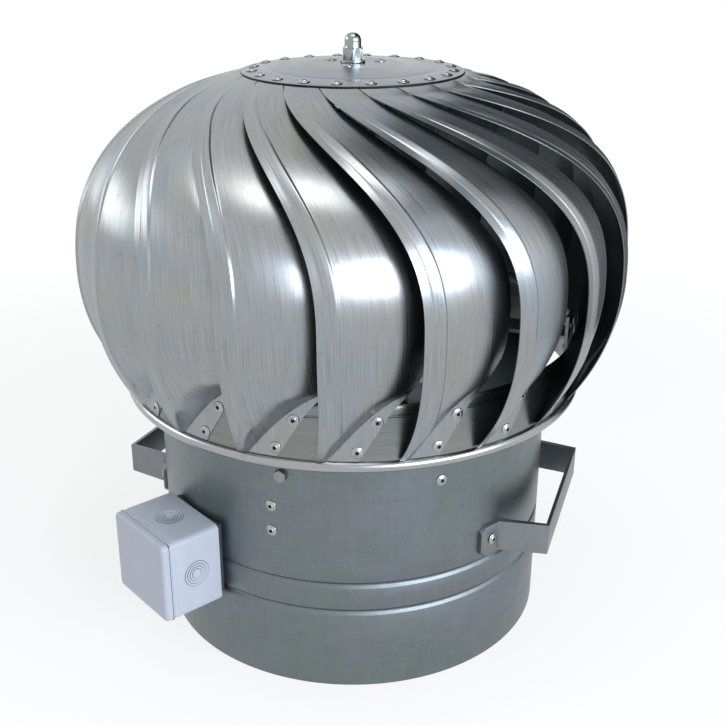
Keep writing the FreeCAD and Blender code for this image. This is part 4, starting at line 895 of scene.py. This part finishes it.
def knockout_rings():
    """Raised rings on the four sides, in the pattern of thin steps that a knife follows. Their outer
    flanks take a dark painted shade line.
    """
    turn = Matrix.Rotation(math.radians(BOX_TURN), 4, "Z")
    reach = COLLAR_RADIUS + BOX_STAND + BOX_DEEP / 2
    middle = BOX_LOW + BOX_HIGH / 2
    parts = []
    for place, direction in (((0, -reach, BOX_LOW + BOX_HIGH), (0, 0, 1)),
                             ((0, -reach, BOX_LOW), (0, 0, -1)),
                             ((BOX_WIDTH / 2, -reach, middle), (1, 0, 0)),
                             ((-BOX_WIDTH / 2, -reach, middle), (-1, 0, 0))):
        for radius in (11.2, 8.8, 6.4, 4.0):
            profile = [(radius - 0.75, -0.25), (radius - 0.55, 0.0), (radius - 0.2, 0.3),
                       (radius + 0.2, 0.3), (radius + 0.75, 0.02), (radius + 0.85, -0.25)]
            points, faces, _ = lathe_parts(profile, 56, True)
            # The outer flank faces of each ring take the dark painted shade material.
            slots = [1 if number % 6 in (3, 4) else 0 for number in range(len(faces))]
            parts.append((points, faces, turn @ stand(Vector(place), Vector(direction)), slots))
    piece = joined("knockout_ring_pieces", parts, 60.0)
    weld(piece)
    return piece


def junction_box():
    back = COLLAR_RADIUS + BOX_STAND
    front = back + BOX_DEEP
    outer = [(1.2, back), (0.35, back + 0.35), (0.0, back + 1.2), (0.0, front - 4.6),
             (0.3, front - 4.2), (0.3, front - 1.2), (0.8, front - 0.7), (0.9, front)]
    inner = [(BOX_WALL, front), (BOX_WALL, back + BOX_WALL)]
    body = box_shell("box_body_piece", outer + inner, 5.0, True, True)
    stands_for(body, "collar_assembly", "box_plastic", [box_grey], "box_body")
    start = front + GASKET_HIGH
    end = start + LID_DEEP
    lid = [(BOX_WALL, end - BOX_WALL), (BOX_WALL, start), (0.5, start), (0.12, start + 0.15),
           (0.0, start + 0.5), (0.0, end - 4.0)]
    for step in range(1, 9):
        angle = math.pi / 2 * step / 8.0
        lid.append((4.0 * (1 - math.cos(angle)), end - 4.0 + 4.0 * math.sin(angle)))
    lid += [(12.0, end), (25.0, end)]
    cover = box_shell("box_lid_piece", lid, 5.0, True, True)
    stands_for(cover, "collar_assembly", "box_plastic", [box_grey], "box_lid")
    rings = knockout_rings()
    rings.data.materials.append(box_grey)
    rings.data.materials.append(box_shade_line)
    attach(rings, "collar_assembly")


# The nodes whose CAD shape is right keep it, with rounded corners where they catch the light

def rounded_nodes():
    members = frame["record"]["behaviour"]["bodies"]
    for node, width in (("handle_left", 0.7), ("handle_right", 0.7), ("lock_bolt", 0.4),
                        ("cap_washer", 0.3), ("traverse_lower", 0.4), ("traverse_upper", 0.4),
                        ("rotor_spider", 0.4), ("bearing_housing", 0.5), ("hub_flange", 0.4)):
        body = next(name for name, names in members.items() if node in names)
        slot = next(item["material_slot"] for item in frame["record"]["subparts"]
                    if item["node"] == node)
        piece = dressed(node, node + "_piece", width)
        stands_for(piece, body, slot, [SLOT_MATERIALS[slot]], node)


def carried_nodes():
    for item in frame["record"]["subparts"]:
        node = frame["nodes"][item["node"]]
        node.data.materials.clear()
        node.data.materials.append(SLOT_MATERIALS[item["material_slot"]])
        for face in node.data.polygons:
            face.material_index = 0


# Studio

def visible_share(tree):
    """1 for what the camera sees, directly or through gloss and glass, and 0 for other light."""
    path = tree.nodes.new("ShaderNodeLightPath")
    first = tree.nodes.new("ShaderNodeMath")
    first.operation = "MAXIMUM"
    second = tree.nodes.new("ShaderNodeMath")
    second.operation = "MAXIMUM"
    tree.links.new(path.outputs["Is Camera Ray"], first.inputs[0])
    tree.links.new(path.outputs["Is Glossy Ray"], first.inputs[1])
    tree.links.new(first.outputs[0], second.inputs[0])
    tree.links.new(path.outputs["Is Transmission Ray"], second.inputs[1])
    return second.outputs[0]


def studio_world():
    world = bpy.data.worlds.new("studio")
    bpy.context.scene.world = world
    world.use_nodes = True
    tree = world.node_tree
    tree.nodes.clear()
    out = tree.nodes.new("ShaderNodeOutputWorld")
    soft = tree.nodes.new("ShaderNodeBackground")
    soft.inputs["Color"].default_value = (0.93, 0.96, 1.0, 1.0)
    soft.inputs["Strength"].default_value = 0.46
    white = tree.nodes.new("ShaderNodeBackground")
    white.inputs["Color"].default_value = (1.0, 1.0, 1.0, 1.0)
    white.inputs["Strength"].default_value = 1.0
    mix = tree.nodes.new("ShaderNodeMixShader")
    tree.links.new(visible_share(tree), mix.inputs[0])
    tree.links.new(soft.outputs[0], mix.inputs[1])
    tree.links.new(white.outputs[0], mix.inputs[2])
    tree.links.new(mix.outputs[0], out.inputs["Surface"])


def floor():
    """A pale floor that turns into the white of the background away from the object."""
    size = 6000.0
    piece = mesh_object("floor", [(-size, -size, 0), (size, -size, 0), (size, size, 0),
                                  (-size, size, 0)], [(0, 1, 2, 3)])
    material = bpy.data.materials.new("floor_white")
    material.use_nodes = True
    tree = material.node_tree
    tree.nodes.clear()
    out = tree.nodes.new("ShaderNodeOutputMaterial")
    paper = tree.nodes.new("ShaderNodeBsdfDiffuse")
    paper.inputs["Color"].default_value = (0.86, 0.86, 0.86, 1.0)
    glow = tree.nodes.new("ShaderNodeEmission")
    glow.inputs["Color"].default_value = (1.0, 1.0, 1.0, 1.0)
    glow.inputs["Strength"].default_value = 1.04
    place = tree.nodes.new("ShaderNodeTexCoord")
    reach = tree.nodes.new("ShaderNodeVectorMath")
    reach.operation = "LENGTH"
    fade = tree.nodes.new("ShaderNodeMapRange")
    fade.interpolation_type = "SMOOTHSTEP"
    for socket, value in zip(("From Min", "From Max", "To Min", "To Max"), FLOOR_FADE):
        fade.inputs[socket].default_value = value
    share = tree.nodes.new("ShaderNodeMath")
    share.operation = "MULTIPLY"
    tree.links.new(place.outputs["Object"], reach.inputs[0])
    tree.links.new(reach.outputs["Value"], fade.inputs["Value"])
    tree.links.new(fade.outputs["Result"], share.inputs[0])
    tree.links.new(visible_share(tree), share.inputs[1])
    mix = tree.nodes.new("ShaderNodeMixShader")
    tree.links.new(share.outputs[0], mix.inputs[0])
    tree.links.new(paper.outputs[0], mix.inputs[1])
    tree.links.new(glow.outputs[0], mix.inputs[2])
    tree.links.new(mix.outputs[0], out.inputs["Surface"])
    piece.data.materials.append(material)


def panel(name, first, last, reach, low, high, tone):
    """An upright grey panel round one side of the object, there only for the metal to mirror."""
    steps = 24
    points, faces = [], []
    for step in range(steps + 1):
        side = outward(first + (last - first) * step / steps) * reach
        points += [(side.x, side.y, low), (side.x, side.y, high)]
    for step in range(steps):
        faces.append((2 * step, 2 * step + 2, 2 * step + 3, 2 * step + 1))
    piece = mesh_object(name, points, faces)
    material = bpy.data.materials.new(name)
    material.use_nodes = True
    bsdf = material.node_tree.nodes["Principled BSDF"]
    bsdf.inputs["Base Color"].default_value = (tone, tone, tone * 1.05, 1.0)
    bsdf.inputs["Roughness"].default_value = 0.9
    piece.data.materials.append(material)
    piece.visible_camera = False
    piece.visible_diffuse = False
    piece.visible_shadow = False


def lamp(name, place, size, power, colour=(1.0, 1.0, 1.0), aim=(0.0, 0.0, 0.28)):
    light = bpy.data.lights.new(name, "AREA")
    light.shape = "RECTANGLE"
    light.size, light.size_y = size
    light.energy = power
    light.color = colour
    holder = bpy.data.objects.new(name, light)
    holder.location = place
    towards = Vector(aim) - Vector(place)
    holder.rotation_euler = towards.to_track_quat("-Z", "Y").to_euler()
    bpy.context.scene.collection.objects.link(holder)


def studio_lamps():
    lamp("key_left", (-1.9, 0.35, 1.15), (1.3, 0.7), 9.0, (0.94, 0.98, 1.0))
    lamp("window_right", (1.5, -1.75, 1.05), (2.3, 1.0), 62.0, (0.84, 0.90, 1.0))
    lamp("top_strip", (0.1, -0.3, 2.2), (1.2, 0.6), 9.0, (1.0, 1.0, 0.98))
    panel("panel_right", 100.0, 160.0, 760.0, 2.0, 1500.0, 0.02)
    panel("panel_high", 62.0, 164.0, 700.0, 1100.0, 2600.0, 0.03)


def camera():
    lens = bpy.data.cameras.new("photo_camera")
    lens.sensor_width = 36.0
    lens.lens = 1088.355 / 726.0 * 36.0
    lens.shift_x = (363.0 - 352.8) / 726.0
    lens.shift_y = 0.0
    lens.dof.use_dof = False
    holder = bpy.data.objects.new("photo_camera", lens)
    holder.location = (0.0, -0.93486, 0.62035)
    holder.rotation_euler = (math.pi / 2 - 0.39858, 0.0, 0.0)
    bpy.context.scene.collection.objects.link(holder)
    bpy.context.scene.camera = holder


bpy.context.scene.view_settings.view_transform = "Standard"
camera()
studio_world()
floor()
studio_lamps()
carried_nodes()
blades()
collar()
lower_ring()
top_disc()
head_rivets()
collar_rivets()
cap_nut()
junction_box()
rounded_nodes()
